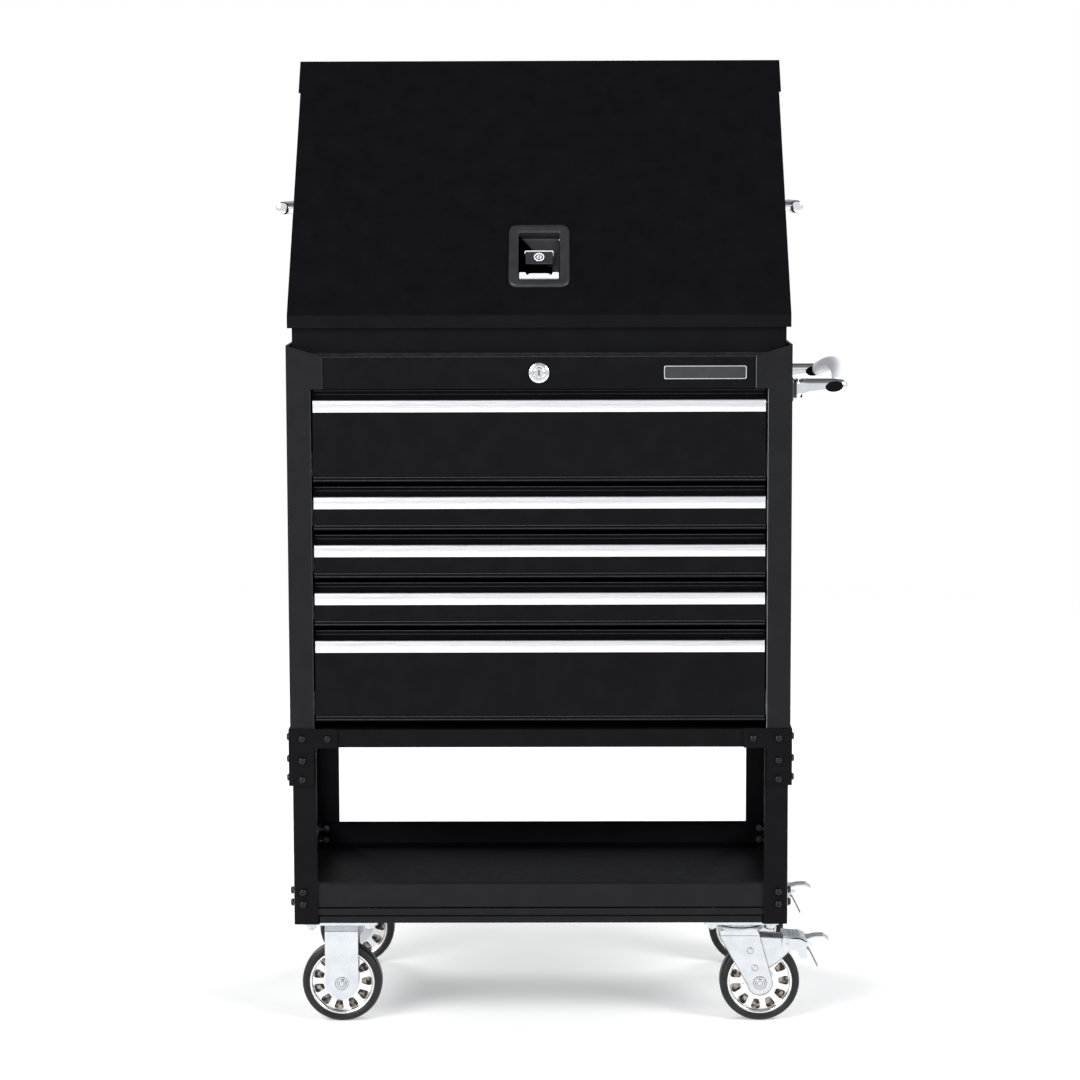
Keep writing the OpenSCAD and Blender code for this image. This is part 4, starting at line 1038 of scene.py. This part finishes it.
def drawer_lock():
    """The lock's ring with the bar's guides, and the key cylinder with its rod and crank."""
    box = Box("lock_housing")
    plug = Box("lock_plug")
    centre = joint_place("lock_turn")
    middle = at(centre.x, front, centre.z)
    place = middle @ turned(90, "X")
    ring = Shape()
    face = front - box.y[0]
    ring.lathe([(8.6, face - 0.2), (9.6, face), (12.0, face), (12.6, face - 0.9), (13.4, face - 1.0),
                (14.6, face - 1.2), (15.5, face - 2.2), (15.5, 0), (11, 0), (10.9, -26), (8.6, -26)],
               place, closed=True, steps=64)
    guide = [(mid_x - 10.4, back - 1), (mid_x - 10.4, back - 19.5), (mid_x + 20.4, back - 19.5),
             (mid_x + 20.4, back - 1)]
    for level in (560, 900):
        ring.prism(strip(guide, SHEET, 1.4), level, level + 14, finish=1)
    ring.piece("lock_ring", "chest", [CHROME, ZINC], "lock_housing", bevel=0.25, angle=40)

    key = Shape()
    slot = rectangle(1.9, 8.6, 0.8)
    face = front - plug.y[0]
    rod_end = front - plug.y[1] + 7
    key.prism(circle(7.4, 48), -6, face, place, holes=[slot])
    barrel = [(7.4, face - 0.1), (8.2, face - 0.6), (8.5, face - 1.4), (8.5, -24), (7.4, -24)]
    key.lathe(barrel, place, closed=True)
    key.prism(slot, -6.2, face - 2.6, place, finish=1)
    key.lathe([(0, -23), (3, -23), (3, rod_end), (0, rod_end)], place, steps=24)
    arm = rounded([(-4.5, -4), (11, -4), (11, 4), (-4.5, 4)], 3.8)
    key.prism(arm, rod_end, rod_end + 4, middle @ turned(45, "Y") @ turned(90, "X"), finish=2)
    crank = 7.07 * cos(radians(45))
    pin = at(centre.x + crank, plug.y[1], centre.z - crank) @ turned(90, "X")
    key.lathe([(0, 0), (2, 0), (2, 8), (0, 8)], pin, finish=2, steps=20)
    key.piece("key_cylinder", "lock", [CHROME, FITTING, ZINC], "lock_plug", bevel=0.2)


def badge():
    """A blank plate: a bright rim round a dark satin field."""
    box = Box("nameplate")
    width = box.x[1] - box.x[0]
    height = box.z[1] - box.z[0]
    place = at(box.mid.x, 0, box.mid.z) @ turned(90, "X")
    shape = Shape()
    outer = rectangle(width, height, 3.0)
    inner = rectangle(width - 2.4, height - 2.4, 2.2)
    shape.prism(outer, -box.y[1], -box.y[0], place, holes=[inner])
    shape.prism(rectangle(width - 2.2, height - 2.2, 2.3), -box.y[1], -box.y[0] - 0.3, place, finish=1)
    shape.piece("blank_badge", "chest", [ALLOY, FITTING], "nameplate", bevel=0.15)


def box_foot_shadow():
    """A black strip round the foot of the box, where it stands in the tray: painted shadow along the box's
    foot.
    """
    box = Box("box_shell")
    foot = box.z[0]
    loops = []
    for out, near, far in ((0.7, 0.8, 40), (0.1, 0.1, 41)):
        left, right = box.x[0] - out, box.x[1] + out
        loops.append([(left, box.y[0] - near), (right, box.y[0] - near), (right, box.y[1] - far),
                      (left, box.y[1] - far)])
    shape = Shape()
    shape.prism(loops[0], foot + 0.2, foot + 14, holes=[loops[1]])
    shape.piece("box_foot_shadow_strip", "chest", [SEAL], bevel=0.2)


def latch_frame():
    """The slope's own axes at the key plug: X across, Y up the slope, Z out of the lid."""
    up = Vector(joint("latch_bolt_slide")["axis"])
    out = Vector(joint("latch_key_turn")["axis"])
    place = Matrix((Vector((1, 0, 0)), up, out)).transposed().to_4x4()
    place.translation = joint_place("latch_key_turn") + up * 2.5
    return place


def latch():
    place = latch_frame()
    pocket = (62.5, 92.0)
    latch_bezel(place, pocket)
    latch_paddle(place, pocket)
    latch_cylinder(place @ at(0, -2.5, 0))


def latch_bezel(place, pocket):
    """A soft bezel round a pocket, and the latch bolt's guides behind it."""
    housing = Shape()
    rings = []
    for grow, radius, z in (
        (3.2, 3.5, -25.6), (3.2, 3.5, 0), (30.5, 15, 0), (30.5, 15, 1.0), (29.4, 14.5, 2.4),
        (26.8, 13.4, 3.4), (22.5, 11.5, 3.95), (17, 9, 4.0), (10.5, 6.5, 3.6), (5.5, 4.5, 2.9),
        (2.0, 3.2, 2.3), (0.5, 2.6, 1.6), (0, 2.4, 0.6), (0, 2.4, -24),
    ):
        rings.append([(x, y, z) for x, y in rectangle(pocket[0] + grow, pocket[1] + grow, radius, 8)])
    housing.loft(rings, place)
    guide = strip([(-18.2, -25.6), (-18.2, -30), (18.2, -30), (18.2, -25.6)], 1.2, 1.2)
    for up in (29, -13):
        housing.prism(guide, up, up + 7, place @ ALONG_Y)
    housing.piece("latch_bezel", "lid", [FITTING], "latch_housing", bevel=0.15, angle=40)


def latch_paddle(place, pocket):
    """The paddle: a plate on a pivot, a hooded lock block and a notched, plated lip."""
    half = pocket[0] / 2 - 1
    low = -pocket[1] / 2 + 1.5
    gap_top = low + 30
    block_top = gap_top + 24
    top = pocket[1] / 2 - 5
    paddle = Shape()

    def plate(x, y, corner, z, finish=0):
        """A flat bar with round corners."""
        outline = rounded([(x[0], y[0]), (x[1], y[0]), (x[1], y[1]), (x[0], y[1])], corner)
        paddle.prism(outline, *z, place, finish=finish)

    plate((-half, half), (block_top - 6, top), 1.2, (-10, -7.5))
    for side in (-1, 1):
        plate(sorted((side * 20.8, side * half)), (low + 12, block_top), 1.0, (-10, -7.2))
    plate((-20, 20), (gap_top - 1.2, gap_top + 0.6), 0.8, (-8, 1.3), 3)
    plate((-half, half), (low + 11, low + 13), 0.9, (-10, -1.2), 2)
    pivot = place @ at(0, top - 1, -9) @ turned(90, "Y")
    pin = half + 2.6
    paddle.lathe([(0, -half), (2.6, -half), (2.6, half), (0, half)], pivot, steps=24)
    paddle.lathe([(0, -pin), (1.95, -pin), (1.95, pin), (0, pin)], pivot, finish=1, steps=24)
    face = rectangle(41, 24, 2.2, centre=(0, (gap_top + block_top) / 2))
    paddle.prism(face, -10, 1, place, holes=[circle(7.05, 40, (0, -2.5))])
    hood = strip([(-21.6, -3.4), (-21.6, 0.2), (21.6, 0.2), (21.6, -3.4)], 1.6, 1.6)
    paddle.prism(hood, -7.5, 1.8, place @ at(y=block_top), finish=1)
    lip = rounded([
        (-half, low), (half, low), (half, low + 13.4), (21.4, low + 13.4), (18.6, low + 6.8),
        (14.6, low + 11), (-14.6, low + 11), (-18.6, low + 6.8), (-21.4, low + 13.4), (-half, low + 13.4),
    ], [2, 2, 1.2, 0.8, 0.8, 1.2, 1.2, 0.8, 0.8, 1.2])
    rings = []
    for z, inset in ((-1, 0), (0.2, 0), (1.0, 0.5)):
        ring = []
        for x, y in lip:
            inward = inset if y < low + 6 else -inset
            ring.append((x * (1 - inset / half), y + inward, z + 0.09 * (low + 6 - y)))
        rings.append(ring)
    paddle.loft(rings, place, finish=1)
    paddle.piece("latch_paddle_body", "paddle", [FITTING, PLATED, BOLT, DARK_ZINC],
                 "latch_paddle", bevel=0.45, segments=3, angle=40)


def latch_cylinder(place):
    """The key cylinder: a slotted core, a dark gap and a dark slot in the darker coat as painted shade, a
    plated ring and a cam.
    """
    plug = Shape()
    slot = rectangle(1.7, 7.6, 0.7)
    core = circle(3.9, 40)
    plug.prism(core, -11, 1.4, place, holes=[slot])
    plug.prism(circle(5.9, 40), -11, 0.6, place, holes=[core], finish=1)
    plug.prism(slot, -10, -0.5, place, finish=1)
    ring = [(5.9, 1.3), (6.4, 2.2), (7.4, 2.35), (8.0, 1.9), (8.0, 1.2), (7.0, 1.15), (7.0, -12), (5.9, -12)]
    plug.lathe(ring, place, closed=True, steps=40)
    cam = rounded([(-2.5, -3), (2.5, -3), (2.5, 14), (-2.5, 14)], 2.2)
    plug.prism(cam, -14, -12, place)
    plug.piece("latch_key_cylinder", "key_plug", [PLATED, PAINTED_SHADE_COAT], "latch_plug", bevel=0.2)


for drawer_number in range(1, 6):
    drawer(drawer_number)
seams()
frame_legs()
shelf_pan()
base_channels()
corner_brackets()
frame_bolts()
for caster_side in ("left", "right"):
    for caster_end in ("front", "rear"):
        wheel(caster_side, caster_end)
rigid_casters()
swivel_heads()
for caster_end in ("front", "rear"):
    swivel_fork(caster_end)
    brake_pedal(caster_end)
push_handle()
grab_handles()
drawer_lock()
badge()
box_foot_shadow()
latch()

# The plainer CAD nodes are kept as they are, with a finish and soft edges
for node in ("cabinet_floor", "top_tray", "box_shell", "lid_panel", "top_rail", "bottom_rail"):
    keep(node, ENAMEL, 0.5)
for node in ("cabinet_shell", "corner_posts"):
    keep(node, FRAME_ENAMEL, 0.5)
keep("slide_rails", DARK_ZINC, 0.25, sheet=False)
for node in ("hinge_leaf_box", "hinge_leaf_lid", "lid_stay_rails", "lid_stay_arms", "latch_bolt",
             "lock_bar"):
    keep(node, ZINC, 0.25, sheet=False)
keep("box_floor", MAT, 0.4)
keep("lid_seal", SEAL, 0.4)


# ---- Studio ----


def linked(obj_data, name):
    """An object that shows a mesh, a light or a camera in the scene."""
    obj = bpy.data.objects.new(name, obj_data)
    bpy.context.scene.collection.objects.link(obj)
    return obj


def floor():
    """A pale floor that glows faintly and fades out far from the chest."""
    shape = bmesh.new()
    bmesh.ops.create_circle(shape, cap_ends=True, segments=96, radius=7.0)
    mesh = bpy.data.meshes.new("floor")
    shape.to_mesh(mesh)
    shape.free()
    material = bpy.data.materials.new("pale_floor")
    material.use_nodes = True
    tree = material.node_tree
    place = tree.nodes.new("ShaderNodeTexCoord").outputs["Object"]
    shader = tree.nodes["Principled BSDF"]
    fill(tree, shader, {
        "Base Color": ramp(tree, noise(tree, place, 3.0), ((0.90,) * 3, (0.92,) * 3), (0.35, 0.65)),
        "Roughness": 0.9,
        "Specular IOR Level": 0.1,
        "Emission Color": (1, 1, 1, 1),
        "Emission Strength": 0.24,
    })
    away = added(tree, "VectorMath", {0: place})
    away.operation = "LENGTH"
    fade = remap(tree, away.outputs["Value"], (2.2, 5.5), (0, 1), smooth=True)
    clear = tree.nodes.new("ShaderNodeBsdfTransparent")
    blend(tree, fade, shader.outputs["BSDF"], clear.outputs["BSDF"], "Material Output")
    mesh.materials.append(material)
    linked(mesh, "floor")


def blend(tree, factor, first, second, output):
    """Mixes two shaders into the output node."""
    mix = added(tree, "MixShader", {"Fac": factor, 1: first, 2: second})
    tree.links.new(mix.outputs["Shader"], tree.nodes[output].inputs["Surface"])


def softbox(name, place, aim, size, power):
    light = bpy.data.lights.new(name, "AREA")
    light.shape = "RECTANGLE"
    light.size, light.size_y = size
    light.energy = power
    obj = linked(light, name)
    obj.location = place
    obj.rotation_euler = (Vector(aim) - Vector(place)).to_track_quat("-Z", "Y").to_euler()


def studio():
    """Soft light from high on both sides; what the chest mirrors is bright in front and dim
    overhead and behind, and the background itself is white."""
    softbox("key", (-3.2, -4.0, 3.0), (0, 0, 0.7), (3.2, 3.0), 250)
    softbox("fill", (3.8, -2.8, 3.0), (0, 0, 0.7), (2.0, 2.4), 170)
    softbox("back_left", (-3.0, 3.6, 3.2), (0, 0, 0.8), (2.4, 2.0), 120)
    softbox("back_right", (3.0, 3.6, 3.2), (0, 0, 0.8), (2.4, 2.0), 100)
    world = bpy.data.worlds.new("surround")
    bpy.context.scene.world = world
    world.use_nodes = True
    tree = world.node_tree
    white = tree.nodes["Background"]
    fill(tree, white, {"Color": (1, 1, 1, 1), "Strength": 1.0})
    place = tree.nodes.new("ShaderNodeTexCoord").outputs["Generated"]
    way = added(tree, "SeparateXYZ", {"Vector": place})
    level = added(tree, "Math", {
        0: remap(tree, way.outputs["Z"], (0.30, 0.75), (1.0, 0.22), smooth=True),
        1: remap(tree, way.outputs["Y"], (-0.25, 0.45), (0.80, 0.36), smooth=True),
    })
    level.operation = "MULTIPLY"
    dim = added(tree, "Background", {"Color": (0.95, 0.97, 1.0, 1), "Strength": level.outputs["Value"]})
    seen = tree.nodes.new("ShaderNodeLightPath").outputs["Is Camera Ray"]
    blend(tree, seen, dim.outputs["Background"], white.outputs["Background"], "World Output")
    bpy.context.scene.view_settings.view_transform = "Standard"


def camera():
    """A long lens in front of the chest, a little above its drawers and looking slightly down."""
    distance = 4.729
    height = 1.303
    aside = 0.0356
    down = 6.575
    swing = 0.423
    roll = -0.179
    data = bpy.data.cameras.new("camera")
    data.sensor_width = 36
    data.lens = 104.92
    obj = linked(data, "camera")
    spot = Matrix.Translation((mid_x * MM + aside, front * MM - distance, height))
    obj.matrix_world = spot @ turned(swing, "Z") @ turned(90 - down, "X") @ turned(roll, "Z")
    bpy.context.scene.camera = obj


floor()
studio()
camera()
